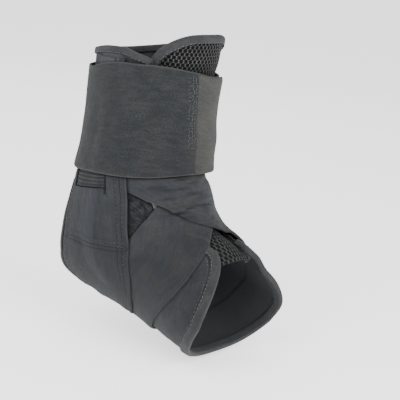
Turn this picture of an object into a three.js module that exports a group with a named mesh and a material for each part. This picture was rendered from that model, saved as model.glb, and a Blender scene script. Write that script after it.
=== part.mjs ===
// Lace-up ankle brace in the shape it has when worn, hollow where the leg and the foot go.
// Millimetres. The origin is the ankle joint, +X points to the toes and +Z up the leg.
// Every piece lies on one form. A place on the form is a level, from 0 at the calf to 11 at
// the ball of the foot, and an angle round the leg, 0 in front, 90 on the near side (-Y),
// 180 behind. A height is the distance outwards from the form.
import * as THREE from "three";

// Driving dimensions.
const legHeight = 130;
const soleDrop = 87;
const footReach = 100;
const footWidth = 90;
const clearance = 0.5;
const seamGap = 0.6;
const tongueThickness = 2;
const tongueFlare = 4.5;
const quarterThickness = 1.4;
const strapThickness = 1;
const panelThickness = 1.2;
const webbingThickness = 0.7;
const ribHeight = 0.5;
const cuffThickness = 1.6;
const cuffHeight = 73;
const tabGap = 0.5;
const bindingThickness = 0.7;
const bindingGap = 0.45;
const bindingWidth = 3.4;
const tongueBindingWidth = 4.2;
const laceThickness = 0.8;
const laceWidth = 4;
const loopLength = 6;
const loopReach = 5;
const foldHeight = 1.1;

// Counts and fineness of the meshes.
const windowRibs = 6;
const finiteStep = 1e-3;

const radians = THREE.MathUtils.degToRad;
const degrees = THREE.MathUtils.radToDeg;
const { clamp, lerp, smoothstep } = THREE.MathUtils;

// Rows of a table as objects, with the names of the columns.
function table(columns, rows) {
  return rows.map((row) => Object.fromEntries(columns.map((name, k) => [name, row[k]])));
}

// Sections of the form. X is a share of the foot's reach, Z a share of the leg's height
// above the joint and of the sole's drop below it, the half width a share of half the foot's
// width. The rounds shape the front and back halves: 1 is an ellipse, less is squarer.
const sections = table(
  ["frontX", "frontZ", "backX", "backZ", "halfWidth", "frontRound", "backRound"],
  [
    [0.395, 1.004, -0.365, 0.992, 0.79, 1, 0.95],
    [0.36, 0.758, -0.37, 0.754, 0.755, 1, 1],
    [0.345, 0.512, -0.39, 0.496, 0.735, 1, 1.05],
    [0.328, 0.338, -0.41, 0.277, 0.74, 1, 1.1],
    [0.326, 0.188, -0.455, 0.042, 0.79, 1, 1.05],
    [0.405, 0.056, -0.555, -0.293, 0.81, 1, 1],
    [0.484, -0.053, -0.55, -0.586, 0.81, 1, 0.9],
    [0.58, -0.144, -0.32, -0.7, 0.8, 1.1, 0.85],
    [0.7, -0.205, -0.005, -0.74, 0.835, 1.2, 0.8],
    [0.845, -0.305, 0.3, -0.83, 0.9, 1.2, 0.78],
    [1.0, -0.414, 0.59, -0.931, 0.965, 1.15, 0.76],
    [1.16, -0.529, 0.88, -1, 1, 1.1, 0.75],
  ],
);

// A value of a table between its rows, as a smooth curve through them.
function curveThrough(a, b, c, d, f) {
  const slope = -a + c;
  const bend = 2 * a - 5 * b + 4 * c - d;
  const twist = -a + 3 * b - 3 * c + d;
  return (2 * b + slope * f + bend * f * f + twist * f * f * f) / 2;
}

function sectionAt(level) {
  const last = sections.length - 1;
  const t = clamp(level, 0, last - finiteStep);
  const i = Math.floor(t);
  const near = [Math.max(i - 1, 0), i, i + 1, Math.min(i + 2, last)].map((k) => sections[k]);
  const value = (name) => curveThrough(...near.map((row) => row[name]), t - i);
  const high = (share) => share * (share > 0 ? legHeight : soleDrop);
  return {
    frontX: value("frontX") * footReach,
    frontZ: high(value("frontZ")),
    backX: value("backX") * footReach,
    backZ: high(value("backZ")),
    halfWidth: (value("halfWidth") * footWidth) / 2,
    frontRound: value("frontRound"),
    backRound: value("backRound"),
  };
}

const rounded = (value, power) => Math.sign(value) * Math.abs(value) ** power;

function onForm(level, angle) {
  const s = sectionAt(level);
  const cosine = Math.cos(radians(angle));
  const sine = Math.sin(radians(angle));
  const power = lerp(s.backRound, s.frontRound, (1 + cosine) / 2);
  const along = rounded(cosine, power);
  return new THREE.Vector3(
    (s.frontX + s.backX) / 2 + ((s.frontX - s.backX) / 2) * along,
    -s.halfWidth * rounded(sine, power),
    (s.frontZ + s.backZ) / 2 + ((s.frontZ - s.backZ) / 2) * along,
  );
}

// How a point of the form moves for one level and for one degree.
function tangents(level, angle) {
  const t = Math.max(level, finiteStep);
  const a = angle;
  const perLevel = onForm(t + finiteStep, a).sub(onForm(t - finiteStep, a));
  const perDegree = onForm(t, a + finiteStep).sub(onForm(t, a - finiteStep));
  return {
    perLevel: perLevel.divideScalar(2 * finiteStep),
    perDegree: perDegree.divideScalar(2 * finiteStep),
  };
}

function place(level, angle, height) {
  const { perLevel, perDegree } = tangents(level, angle);
  const normal = perDegree.cross(perLevel).normalize();
  return onForm(level, angle).addScaledVector(normal, height);
}

// The step over the form, in levels and degrees for one millimetre, square to a line that
// runs in the direction (levels, degrees). It points to the line's left seen from outside.
function squareStep(level, angle, levels, angles) {
  const { perLevel, perDegree } = tangents(level, angle);
  const run = perLevel.clone().multiplyScalar(levels).addScaledVector(perDegree, angles);
  const normal = perDegree.clone().cross(perLevel).normalize();
  const side = normal.cross(run).normalize();
  const ll = perLevel.dot(perLevel);
  const dd = perDegree.dot(perDegree);
  const ld = perLevel.dot(perDegree);
  const l = perLevel.dot(side);
  const d = perDegree.dot(side);
  const whole = ll * dd - ld * ld;
  return { levels: (l * dd - d * ld) / whole, angles: (d * ll - l * ld) / whole };
}

// The value of a column where another column, which rises all the way, has a given value,
// on a smooth curve that never swings past the rows.
function lookUp(rows, key, wanted, name) {
  const last = rows.length - 1;
  const x = (k) => rows[k][key];
  const y = (k) => rows[k][name];
  if (wanted <= x(0)) return y(0);
  if (wanted >= x(last)) return y(last);
  const i = rows.findIndex((row) => row[key] > wanted) - 1;
  const rise = (k) => (y(k + 1) - y(k)) / (x(k + 1) - x(k));
  const slope = (k) => {
    if (k === 0 || k === last) return rise(Math.min(k, last - 1));
    const before = rise(k - 1);
    const after = rise(k);
    return before * after > 0 ? (2 * before * after) / (before + after) : 0;
  };
  const width = x(i + 1) - x(i);
  const f = (wanted - x(i)) / width;
  const ease = f * f * (3 - 2 * f);
  const start = slope(i) * width * f * (1 - f) ** 2;
  const end = slope(i + 1) * width * f * f * (1 - f);
  return lerp(y(i), y(i + 1), ease) + start - end;
}

// A share of the way through a table, where 0 is its first row and 1 its last.
function monotone(rows, name, share) {
  const counted = rows.map((row, k) => ({ at: k / (rows.length - 1), value: row[name] }));
  return lookUp(counted, "at", share, "value");
}

const evenly = (count, from = 0, to = 1) =>
  Array.from({ length: count + 1 }, (_, k) => lerp(from, to, k / count));
const folded = (angle) => THREE.MathUtils.euclideanModulo(angle + 180, 360) - 180;

// A closed body from a list of triangles, with its faces turned outwards.
function body(points, triangles) {
  const used = new Map();
  const positions = [];
  const index = triangles.flat().map((k) => {
    if (!used.has(k)) {
      used.set(k, used.size);
      positions.push(...points[k].toArray());
    }
    return used.get(k);
  });
  let volume = 0;
  for (const [a, b, c] of triangles) {
    volume += points[a].dot(points[b].clone().cross(points[c]));
  }
  if (volume < 0) index.reverse();
  const geometry = new THREE.BufferGeometry();
  geometry.setAttribute("position", new THREE.Float32BufferAttribute(positions, 3));
  geometry.setIndex(index);
  geometry.computeVertexNormals();
  return geometry;
}

// A sheet with thickness over a net of cells. pointAt(u, v, side) gives the inner face for
// side 0 and the outer face for side 1. Cells that keep(u, v) turns down are left open.
function sheet({ us, vs, pointAt, keep = () => true }) {
  const columns = us.length - 1;
  const rows = vs.length - 1;
  const at = (i, j, side) => (side * (columns + 1) + i) * (rows + 1) + j;
  const points = [0, 1].flatMap((side) =>
    us.flatMap((u) => vs.map((v) => pointAt(u, v, side))),
  );
  const kept = (i, j) =>
    i >= 0 &&
    j >= 0 &&
    i < columns &&
    j < rows &&
    keep((us[i] + us[i + 1]) / 2, (vs[j] + vs[j + 1]) / 2);
  const triangles = [];
  const quad = (a, b, c, d) => triangles.push([a, b, c], [a, c, d]);
  const wall = (i, j, k, l) => quad(at(i, j, 0), at(k, l, 0), at(k, l, 1), at(i, j, 1));
  for (let i = 0; i < columns; i += 1) {
    for (let j = 0; j < rows; j += 1) {
      if (!kept(i, j)) continue;
      quad(at(i, j, 1), at(i + 1, j, 1), at(i + 1, j + 1, 1), at(i, j + 1, 1));
      quad(at(i, j, 0), at(i, j + 1, 0), at(i + 1, j + 1, 0), at(i + 1, j, 0));
      if (!kept(i, j - 1)) wall(i, j, i + 1, j);
      if (!kept(i + 1, j)) wall(i + 1, j, i + 1, j + 1);
      if (!kept(i, j + 1)) wall(i + 1, j + 1, i, j + 1);
      if (!kept(i - 1, j)) wall(i, j + 1, i, j);
    }
  }
  return body(points, triangles);
}

// A sheet of cloth between two edges, each a function from a share to a level and an angle.
function cloth({ us, vs, first, second, low, high, keep }) {
  const pointAt = (u, v, side) => {
    const a = first(u);
    const b = second(u);
    const level = lerp(a.level, b.level, v);
    const angle = lerp(a.angle, b.angle, v);
    const height = side ? high(level, angle, u, v) : low(level, angle, u, v);
    return place(level, angle, height);
  };
  return sheet({ us, vs, pointAt, keep });
}

// An edge from two columns of a table.
const edgeOf = (rows, level, angle) => (u) => ({
  level: monotone(rows, level, u),
  angle: monotone(rows, angle, u),
});

// The same edge on the other side of the brace.
const mirrored = (edge) => (u) => {
  const { level, angle } = edge(u);
  return { level, angle: -angle };
};

// Heights of the layers, from the form outwards.

// Half the angle that the tongue covers at each level.
const tongueSides = table(
  ["level", "halfAngle"],
  [
    [0.62, 10],
    [0.635, 20],
    [0.69, 31],
    [0.8, 41],
    [0.95, 49.5],
    [1.12, 54.5],
    [1.5, 57],
    [3, 57],
    [4, 56],
    [5, 53],
    [6, 48],
    [7, 43],
    [8, 38],
    [8.8, 34],
  ],
);
const tongueEnd = tongueSides[tongueSides.length - 1].level;
const tongueHalf = (level) => lookUp(tongueSides, "level", level, "halfAngle");
const tongueLift = tongueThickness + bindingGap + bindingThickness;

// The tongue and its binding lift what lies over them. The lift fades out beside the tongue
// and past its end.
function base(level, angle) {
  const beside = Math.abs(folded(angle)) - tongueHalf(Math.max(level, 1.5));
  const past = level - tongueEnd;
  return tongueLift * (1 - smoothstep(beside, 4, 30)) * (1 - smoothstep(past, 0.1, 0.7));
}

// The free top of the tongue leans forwards, away from the leg.
function flare(level, angle) {
  const down = smoothstep(level, 0.5, 1.5);
  const aside = smoothstep(Math.abs(angle), 12, 54);
  return tongueFlare * (1 - down) * (1 - aside);
}

const bindingStep = bindingThickness + bindingGap;

// The quarters rise a little more where two bindings cross, at the top and at the toe end.
function crossing(level, angle) {
  const a = Math.abs(folded(angle));
  const top = (1 - smoothstep(level, 1.25, 2.6)) * (1 - smoothstep(a, 62, 96));
  const toe = smoothstep(level, 7.9, 8.45) * (1 - smoothstep(a, 44, 70));
  return bindingStep * Math.max(top, toe);
}

const quarterLow = (level, angle) => base(level, angle) + crossing(level, angle) + clearance;
const quarterHigh = (level, angle) => quarterLow(level, angle) + quarterThickness;
const strapClearance = clearance + 0.15;
const strapStep = strapThickness + strapClearance;
const soleRoom = (angle) => 0.35 * smoothstep(Math.abs(folded(angle)), 105, 145);
const panelStep = panelThickness + clearance;

// Front and rear edges of the side panel, from its top to the sole.
const panelEdges = table(
  ["frontLevel", "frontAngle", "rearLevel", "rearAngle"],
  [
    [1.17, 80, 1.19, 118],
    [1.9, 77, 1.9, 118],
    [2.6, 72, 2.5, 118],
    [3.2, 68, 3.15, 119],
    [3.55, 66, 3.5, 126],
    [3.94, 64.5, 3.8, 134],
    [4.33, 63.5, 4.15, 131],
    [4.69, 63, 4.5, 126],
    [5.2, 64, 4.95, 123],
    [5.75, 66, 5.35, 121.5],
    [6.23, 69, 5.75, 121.5],
    [6.85, 76, 6.1, 126],
    [7.48, 85.5, 6.4, 133],
    [8.0, 96.5, 6.62, 139],
    [8.35, 108, 6.85, 145],
    [8.6, 120, 7.05, 150],
    [8.72, 135, 7.15, 154],
  ],
);
const panelFront = (level) => lookUp(panelEdges, "frontLevel", level, "frontAngle");

// How much of the panel's width lies over a strap.
function overStrap(level, angle) {
  const inward = Math.abs(folded(angle)) - panelFront(level);
  const side = (1 - smoothstep(inward, 22, 34)) * smoothstep(level, 2.3, 2.7);
  return Math.max(side, smoothstep(level, 7.3, 7.75));
}

function panelLow(level, angle) {
  const over = overStrap(level, angle);
  return quarterHigh(level, angle) + clearance + over * (strapStep + soleRoom(angle));
}

// What the cuff passes over: the top binding, the panel, and one or two straps.
function underCuff(level, angle) {
  const a = Math.abs(folded(angle));
  const panel = smoothstep(a, 50, 62) * (1 - smoothstep(a, 142, 158));
  const binding = smoothstep(a, 34, 46) * (1 - smoothstep(level, 1.25, 1.6));
  const strapStart = 3.6 - 0.7 * Math.min(1, a / 60);
  const straps = 2 - smoothstep(a, 45, 62) - smoothstep(a, 88, 104);
  const strapShare = smoothstep(level, strapStart - 1.4, strapStart - 0.1);
  return Math.max(panel * panelStep, binding * bindingStep) + straps * strapShare * strapStep;
}

const cuffStep = cuffThickness + clearance;
const cuffLow = (level, angle) =>
  quarterHigh(level, angle) + underCuff(level, angle) + clearance;

// The quarters, the two halves of the boot. Their rear edges run along the seam behind, where
// the angle passes 180, then round the open heel, and on along the seam under the sole.
const quarterEdges = table(
  ["frontLevel", "frontAngle", "rearLevel", "rearAngle"],
  [
    [1.14, 53, 1.17, 200],
    [1.7, 52.2, 1.75, 200],
    [2.3, 51.3, 2.4, 200],
    [2.85, 50.7, 3, 200],
    [3.4, 50, 3.5, 212],
    [3.9, 49.3, 3.98, 180],
    [4.5, 48.3, 4.12, 147],
    [5.1, 46, 4.5, 132],
    [5.65, 43, 5, 129],
    [6.2, 39.8, 5.45, 127.5],
    [6.75, 37.3, 5.8, 127.5],
    [7.3, 34, 6.05, 131],
    [7.85, 30, 6.3, 137],
    [8.4, 29, 6.55, 143],
    [8.95, 34.5, 6.8, 152],
    [9.5, 46.5, 7.05, 180],
    [9.85, 58, 7.9, 208],
    [10.12, 72, 8.9, 208],
    [10.3, 88, 9.7, 208],
    [10.38, 110, 10.4, 208],
  ],
);
const [backSeamRow, soleSeamRow] = quarterEdges.flatMap((row, k) =>
  row.rearAngle === 180 ? [k] : [],
);

// The angle just short of 180 that leaves half of the seam's gap.
function seamAngle(level) {
  const { halfWidth, backRound } = sectionAt(level);
  return 180 - degrees(Math.asin((seamGap / 2 / halfWidth) ** (1 / backRound)));
}

const toeBindingStart = 8.5;
const quarterFront = edgeOf(quarterEdges, "frontLevel", "frontAngle");
function quarterRear(u) {
  const { level, angle } = edgeOf(quarterEdges, "rearLevel", "rearAngle")(u);
  return { level, angle: Math.min(angle, seamAngle(level)) };
}
const lacingAngle = (level) => lookUp(quarterEdges, "frontLevel", level, "frontAngle");

// The top edge of the quarter, which rises at the side and dips behind and in front.
const quarterTop = table(
  ["angle", "level"],
  [
    [53, 1.14],
    [60, 1.08],
    [70, 1.03],
    [84, 0.98],
    [104, 1],
    [131, 1.09],
    [155, 1.15],
    [180, 1.17],
  ],
);

// How far the top edge leaves a straight line, fading out below it.
function topRise(u, level, angle) {
  return (lookUp(quarterTop, "angle", angle, "level") - level) * (1 - smoothstep(u, 0, 0.12));
}

// Stations down the quarter: every row of the table, with more between where an edge bends.
const quarterRows = quarterEdges.length - 1;
const betweenRows = [0.16, 0.5, 4.5, 5.25, 5.5, 5.75, 6.5, 14.33, 14.67, 17.5, 18.35, 18.7];
const quarterStations = [...evenly(quarterRows, 0, quarterRows), ...betweenRows]
  .sort((a, b) => a - b)
  .map((row) => row / quarterRows);
const quarterAcross = [0, 0.045, ...evenly(7, 0.14, 0.86), 0.955, 1];

function onQuarter(u, v) {
  const a = quarterFront(u);
  const b = quarterRear(u);
  const straight = lerp(a.level, b.level, v);
  const angle = lerp(a.angle, b.angle, v);
  return { level: straight + topRise(u, straight, angle), angle };
}

function quarter(side) {
  const pointAt = (u, v, outer) => {
    const { level, angle } = onQuarter(u, v);
    return place(level, angle * side, (outer ? quarterHigh : quarterLow)(level, angle));
  };
  return sheet({ us: quarterStations, vs: quarterAcross, pointAt });
}

// The side panel, with an open window for the ribbed webbing.
const panelWindow = { start: 0.24, end: 0.375, front: 0.3, rear: 0.86 };
const inWindow = (u, v) =>
  u > panelWindow.start && u < panelWindow.end && v > panelWindow.front && v < panelWindow.rear;
const panelFrontEdge = edgeOf(panelEdges, "frontLevel", "frontAngle");
const panelRearEdge = edgeOf(panelEdges, "rearLevel", "rearAngle");

function sidePanel(side) {
  const { start, end, front, rear } = panelWindow;
  const sided = side > 0 ? (edge) => edge : mirrored;
  return cloth({
    us: [...evenly(5, 0, start), ...evenly(3, start, end).slice(1), ...evenly(13, end, 1).slice(1)],
    vs: [...evenly(2, 0, front), ...evenly(4, front, rear).slice(1), 1],
    first: sided(panelFrontEdge),
    second: sided(panelRearEdge),
    low: panelLow,
    high: (level, angle) => panelLow(level, angle) + panelThickness,
    keep: (u, v) => !inWindow(u, v),
  });
}

// Ribbed elastic webbing that fills the window, a little below the panel's face.
function windowWebbing(side) {
  const { start, end, front, rear } = panelWindow;
  const lengthGap = 0.004;
  const widthGap = 0.02;
  const sided = side > 0 ? (edge) => edge : mirrored;
  const ribbed = (u) => {
    const share = (u - start - lengthGap) / (end - start - 2 * lengthGap);
    return (ribHeight * (1 - Math.cos(2 * Math.PI * share * windowRibs))) / 2;
  };
  return cloth({
    us: evenly(windowRibs * 2, start + lengthGap, end - lengthGap),
    vs: evenly(3, front + widthGap, rear - widthGap),
    first: sided(panelFrontEdge),
    second: sided(panelRearEdge),
    low: panelLow,
    high: (level, angle, u) => panelLow(level, angle) + webbingThickness * 0.5 + ribbed(u),
  });
}

// The straps run from the sole over the instep to the other side of the ankle. The angles
// are for a strap that starts on the near side.
const strapColumns = ["frontLevel", "frontAngle", "rearLevel", "rearAngle"];
const underEdges = table(strapColumns, [
  [9.32, 180, 8.05, 180],
  [9.32, 150, 8.1, 150],
  [9.28, 118, 8.2, 122],
  [9.15, 83, 7.85, 103],
  [8.92, 65, 7.3, 90],
  [8.58, 47, 6.55, 77],
  [8, 27.5, 5.85, 60],
  [6.9, -2, 5.13, 43.5],
  [6.15, -19, 4.5, 26],
  [5.56, -29, 3.98, 6],
  [5.17, -38.5, 3.55, -14],
  [4.87, -49, 3.3, -32],
  [4.55, -60, 3.1, -50],
  [4.35, -72, 3.02, -67],
  [4.25, -82, 2.98, -82],
]);
const overEdges = table(strapColumns, [
  [9.32, 180, 8.05, 180],
  [9.32, 150, 8.1, 150],
  [9.26, 118, 8.2, 122],
  [9.05, 85, 7.85, 103],
  [8.7, 64, 7.3, 90],
  [8.15, 43, 6.55, 77],
  [7.45, 22, 5.85, 60],
  [6.96, 2, 5.13, 43.5],
  [6.15, -19, 4.5, 26],
  [5.56, -29, 3.98, 6],
  [5.17, -38.5, 3.55, -14],
  [4.87, -49, 3.3, -32],
  [4.55, -60, 3.1, -50],
  [4.35, -72, 3.02, -67],
  [4.25, -82, 2.98, -82],
]);

// Folds that run across the upper strap in front, each a ridge from one place to another.
const strapFolds = table(
  ["fromLevel", "fromAngle", "toLevel", "toAngle", "halfWidth", "rise"],
  [
    [4.75, 42, 4.75, -6, 2.4, 0.7],
    [5.05, 34, 5.15, -12, 2.6, 1],
    [5.4, 24, 5.65, -14, 2.6, 0.9],
    [5.75, 20, 6.15, -8, 2.4, 0.8],
  ],
);

function distanceToFold(fold, level, angle) {
  const share = clamp((angle - fold.fromAngle) / (fold.toAngle - fold.fromAngle), 0, 1);
  const foldLevel = lerp(fold.fromLevel, fold.toLevel, share);
  const foldAngle = lerp(fold.fromAngle, fold.toAngle, share);
  return onForm(level, angle).distanceTo(onForm(foldLevel, foldAngle));
}

function foldLift(level, angle) {
  return strapFolds.reduce((lift, fold) => {
    const away = distanceToFold(fold, level, angle) / fold.halfWidth;
    return lift + fold.rise * foldHeight * Math.exp(-away * away);
  }, 0);
}

// The strap on top climbs over the other one where they cross in front.
function strap(over) {
  const climb = (angle) => (over ? 1 - smoothstep(Math.abs(angle), 46, 62) : 0);
  const low = (level, angle) => {
    const lift = climb(angle) * strapStep + (over ? foldLift(level, angle) : 0);
    return quarterHigh(level, angle) + strapClearance + soleRoom(angle) + lift;
  };
  const nearSeam = (edge) => (u) => {
    const { level, angle } = edge(u);
    return { level, angle: Math.min(angle, seamAngle(level)) };
  };
  const sided = over ? mirrored : (edge) => edge;
  const rows = over ? overEdges : underEdges;
  const plain = evenly(28);
  const creased = [
    ...evenly(10, 0, 0.43),
    ...evenly(15, 0.43, 0.8).slice(1),
    ...evenly(4, 0.8, 1).slice(1),
  ];
  return cloth({
    us: over ? creased : plain,
    vs: evenly(over ? 7 : 5),
    first: sided(nearSeam(edgeOf(rows, "frontLevel", "frontAngle"))),
    second: sided(nearSeam(edgeOf(rows, "rearLevel", "rearAngle"))),
    low,
    high: (level, angle) => low(level, angle) + strapThickness,
  });
}

// The cuff goes once round the leg, from its end in front to where its tab covers it. The
// drop is its height at each angle, as a share of the greatest.
const cuffEdges = table(
  ["angle", "level", "drop"],
  [
    [-180, 1.42, 0.94],
    [-128, 1.42, 0.95],
    [-76, 1.25, 0.96],
    [-40, 1.38, 0.91],
    [-10, 1.37, 0.92],
    [18, 1.26, 0.96],
    [50, 1.18, 1],
    [76, 1.2, 1],
    [104, 1.3, 0.97],
    [128, 1.42, 0.94],
    [180, 1.42, 0.94],
  ],
);
const cuffTopLevel = (angle) => lookUp(cuffEdges, "angle", folded(angle), "level");
const cuffDrop = (angle) => lookUp(cuffEdges, "angle", folded(angle), "drop") * cuffHeight;

// The level that lies a length below another one, measured down the form.
function levelBelow(level, angle, length) {
  let left = length;
  let reached = level;
  let from = onForm(level, angle);
  while (left > 0) {
    const to = onForm(reached + 0.02, angle);
    const gone = to.distanceTo(from);
    reached += 0.02 * Math.min(1, left / gone);
    left -= gone;
    from = to;
  }
  return reached;
}

const tabStart = 13;
const tabEnd = -36;
const bandEnd = 360 + tabStart - 4;
const tabLift = (angle) => cuffStep * (1 - smoothstep(angle, tabStart, tabStart + 18));

function cuffBand() {
  const edge = (down) => (u) => {
    const angle = lerp(tabStart, bandEnd, u);
    const top = cuffTopLevel(angle);
    return { level: down ? levelBelow(top, folded(angle), cuffDrop(angle)) : top, angle };
  };
  const low = (level, angle) => cuffLow(level, angle) + tabLift(angle);
  return cloth({
    us: evenly(42),
    vs: evenly(6),
    first: edge(false),
    second: edge(true),
    low,
    high: (level, angle) => low(level, angle) + cuffThickness,
  });
}

// The smooth tab that closes the cuff, with rounded corners at its free end.
function cuffTab() {
  const corner = 8;
  const width = degrees(tabGap / footReach) * 2;
  const edge = (down) => (u) => {
    const angle = lerp(tabStart - width, tabEnd, u);
    const top = cuffTopLevel(angle);
    const fromEnd = Math.max(0, 1 - (angle - tabEnd) / corner);
    const inset = (corner / 2) * (1 - Math.sqrt(1 - fromEnd * fromEnd));
    const level = levelBelow(top, angle, down ? cuffDrop(angle) - inset : inset);
    return { level, angle };
  };
  const low = (level, angle) => cuffLow(level, angle) + cuffStep;
  return cloth({
    us: [...evenly(6, 0, 0.84), 0.88, 0.92, 0.95, 0.975, 0.992],
    vs: evenly(6),
    first: edge(false),
    second: edge(true),
    low,
    high: (level, angle) => low(level, angle) + cuffThickness,
  });
}

const tongueSide = edgeOf(tongueSides, "level", "halfAngle");
const tongueStations = [0, 0.08, 0.15, 0.23, 0.31, 0.385, ...evenly(15, 0.46, 1)];
const tongueAcross = [0, 0.065, 0.16, 0.26, 0.38, 0.5, 0.62, 0.74, 0.84, 0.935, 1];

function tongue() {
  return cloth({
    us: tongueStations,
    vs: tongueAcross,
    first: tongueSide,
    second: mirrored(tongueSide),
    low: flare,
    high: (level, angle) => flare(level, angle) + tongueThickness,
  });
}

// A folded tape round an edge. Its section is a U that holds the edge with a clearance. The
// places are levels and angles along the edge, with the cloth to the left of their run.
const bindingProfile = (width) => {
  const outside = bindingGap + bindingThickness;
  return [
    { inward: width, outer: true, away: outside },
    { inward: -outside, outer: true, away: outside },
    { inward: -outside, outer: false, away: -outside },
    { inward: width, outer: false, away: -outside },
    { inward: width, outer: false, away: -bindingGap },
    { inward: -bindingGap, outer: false, away: -bindingGap },
    { inward: -bindingGap, outer: true, away: bindingGap },
    { inward: width, outer: true, away: bindingGap },
  ];
};
const profileQuads = [
  [0, 1, 6, 7],
  [1, 2, 5, 6],
  [2, 3, 4, 5],
];

// The step inwards at each place, square to the line through its neighbours. At a bend it is
// longer, so that the tape keeps its width.
function inwardSteps(places, closed) {
  const last = places.length - 1;
  const along = (from, to) => {
    const { perLevel, perDegree } = tangents(from.level, from.angle);
    return perLevel
      .multiplyScalar(to.level - from.level)
      .addScaledVector(perDegree, to.angle - from.angle);
  };
  return places.map((here, k) => {
    const before = places[k ? k - 1 : closed ? last : 0];
    const after = places[k < last ? k + 1 : closed ? 0 : last];
    const levels = after.level - before.level;
    const whole = Math.round((after.angle - before.angle) / 360) * 360;
    const angles = after.angle - before.angle - whole;
    const step = squareStep(here.level, here.angle, levels, angles);
    if (before === here || after === here || whole) return step;
    const bend = along(before, here).angleTo(along(here, after));
    const longer = 1 / Math.cos(Math.min(bend, 1.6) / 2);
    return { levels: step.levels * longer, angles: step.angles * longer };
  });
}

function binding({ places, closed = false, width = bindingWidth, low, high }) {
  const profile = bindingProfile(width);
  const count = profile.length;
  const rings = places.length;
  const steps = inwardSteps(places, closed);
  const points = places.flatMap((here, k) =>
    profile.map(({ inward, outer, away }) => {
      const level = here.level + steps[k].levels * inward;
      const angle = here.angle + steps[k].angles * inward;
      return place(level, angle, (outer ? high : low)(level, angle) + away);
    }),
  );
  const triangles = [];
  const quad = (a, b, c, d) => triangles.push([a, b, c], [a, c, d]);
  for (let i = 0; i < (closed ? rings : rings - 1); i += 1) {
    const a = i * count;
    const b = ((i + 1) % rings) * count;
    for (let k = 0; k < count; k += 1) {
      const next = (k + 1) % count;
      quad(a + k, a + next, b + next, b + k);
    }
  }
  if (!closed) {
    const end = (rings - 1) * count;
    for (const [p, q, r, s] of profileQuads) {
      quad(s, r, q, p);
      quad(end + p, end + q, end + r, end + s);
    }
  }
  return body(points, triangles);
}

const across = ({ level, angle }) => ({ level, angle: 360 - angle });
const quarterBinding = (places, closed) =>
  binding({ places, closed, low: quarterLow, high: quarterHigh });

// Places from the near side to the seam and on along the far side.
function bothSides(places) {
  const near = places.map(({ level, angle }) => ({ level, angle }));
  return [...near, ...near.slice(0, -1).reverse().map(across)];
}

function topBinding() {
  const places = [0.02, ...quarterAcross.slice(1)].map((v) => onQuarter(0, v));
  places[places.length - 1].angle = 180;
  return quarterBinding(bothSides(places));
}

// Round the open heel, through both quarters.
function heelBinding() {
  const near = quarterStations
    .filter((u) => u * quarterRows > backSeamRow - 0.1 && u * quarterRows < soleSeamRow + 0.1)
    .map(edgeOf(quarterEdges, "rearLevel", "rearAngle"));
  return quarterBinding([...near, ...near.slice(1, -1).reverse().map(across)], true);
}

// Along the toe end of both quarters, from one lacing edge under the sole to the other.
function toeBinding() {
  const front = quarterStations.map(quarterFront).filter(({ level }) => level > toeBindingStart);
  const sole = quarterAcross.slice(1).map((v) => onQuarter(1, v));
  sole[sole.length - 1].angle = 180;
  return quarterBinding(bothSides([...front, ...sole]).reverse());
}

// Up the far side of the tongue, over its top and down the near side.
function tongueBinding() {
  const near = tongueStations.map(tongueSide);
  const far = tongueStations.map(mirrored(tongueSide)).reverse();
  const top = near[0];
  const middle = [-0.5, 0, 0.5].map((share) => ({ ...top, angle: top.angle * share }));
  return binding({
    places: [...far, ...middle, ...near],
    width: tongueBindingWidth,
    low: flare,
    high: (level, angle) => flare(level, angle) + tongueThickness,
  });
}

// The lace zigzags over the tongue between the lacing edges. Each row is a turn, with its
// side, 1 near and -1 far, and has a loop on the edge there.
const laceTurns = table(
  ["level", "side"],
  [
    [2, 1],
    [2.8, -1],
    [3.6, 1],
    [4.3, -1],
    [5, 1],
    [6, -1],
    [7, 1],
  ],
);
const laceLow = tongueThickness + clearance + 0.15;
const loopLow = laceLow + laceThickness + clearance - 0.1;
const laceReach = (level) => Math.min(lacingAngle(level) - 2, tongueHalf(level) - 12);

function lace() {
  const half = laceWidth / 2;
  const turnRun = 0.09;
  const corners = laceTurns.flatMap(({ level, side }) =>
    [-turnRun, turnRun].map((run) => ({
      level: level + run,
      angle: side * laceReach(level + run),
    })),
  );
  const places = corners.flatMap((here, k) => {
    if (k === corners.length - 1) return [here];
    const next = corners[k + 1];
    const parts = here.angle * next.angle < 0 ? 7 : 1;
    return evenly(parts, 0, 1)
      .slice(0, -1)
      .map((f) => ({
        level: lerp(here.level, next.level, f),
        angle: lerp(here.angle, next.angle, f),
      }));
  });
  const steps = inwardSteps(places, false);
  const pointAt = (k, v, outer) => {
    const level = places[k].level + steps[k].levels * v;
    const angle = places[k].angle + steps[k].angles * v;
    return place(level, angle, laceLow + (outer ? laceThickness : 0));
  };
  return sheet({ us: places.map((_, k) => k), vs: [-half, half], pointAt });
}

// A webbing loop on a lacing edge, over the lace where it turns.
function laceLoop({ level, side }) {
  const { perLevel, perDegree } = tangents(level, side * lacingAngle(level));
  const halfRun = loopLength / 2 / perLevel.length();
  const reach = loopReach / perDegree.length();
  const gap = clearance / perDegree.length();
  const edge = (inward) => (u) => {
    const here = level + lerp(-halfRun, halfRun, u);
    return { level: here, angle: side * (lacingAngle(here) - inward) };
  };
  return cloth({
    us: [0, 0.5, 1],
    vs: [0, 0.5, 1],
    first: edge(gap),
    second: edge(reach),
    low: () => loopLow,
    high: () => loopLow + laceThickness,
  });
}

const materials = {
  mesh: { color: 0x363736, roughness: 0.95 },
  tape: { color: 0x5c5e62, roughness: 0.8 },
  nylon: { color: 0x484b4f, roughness: 0.75 },
  strapping: { color: 0x4a4d52, roughness: 0.7 },
  elastic: { color: 0x474a4d, roughness: 0.9 },
  webbing: { color: 0x3c3f42, roughness: 0.9 },
  tab: { color: 0x5e5f5d, roughness: 0.8 },
  lace: { color: 0x8d9094, roughness: 0.8 },
};

const brace = new THREE.Group();
brace.name = "ankle_brace";

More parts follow.
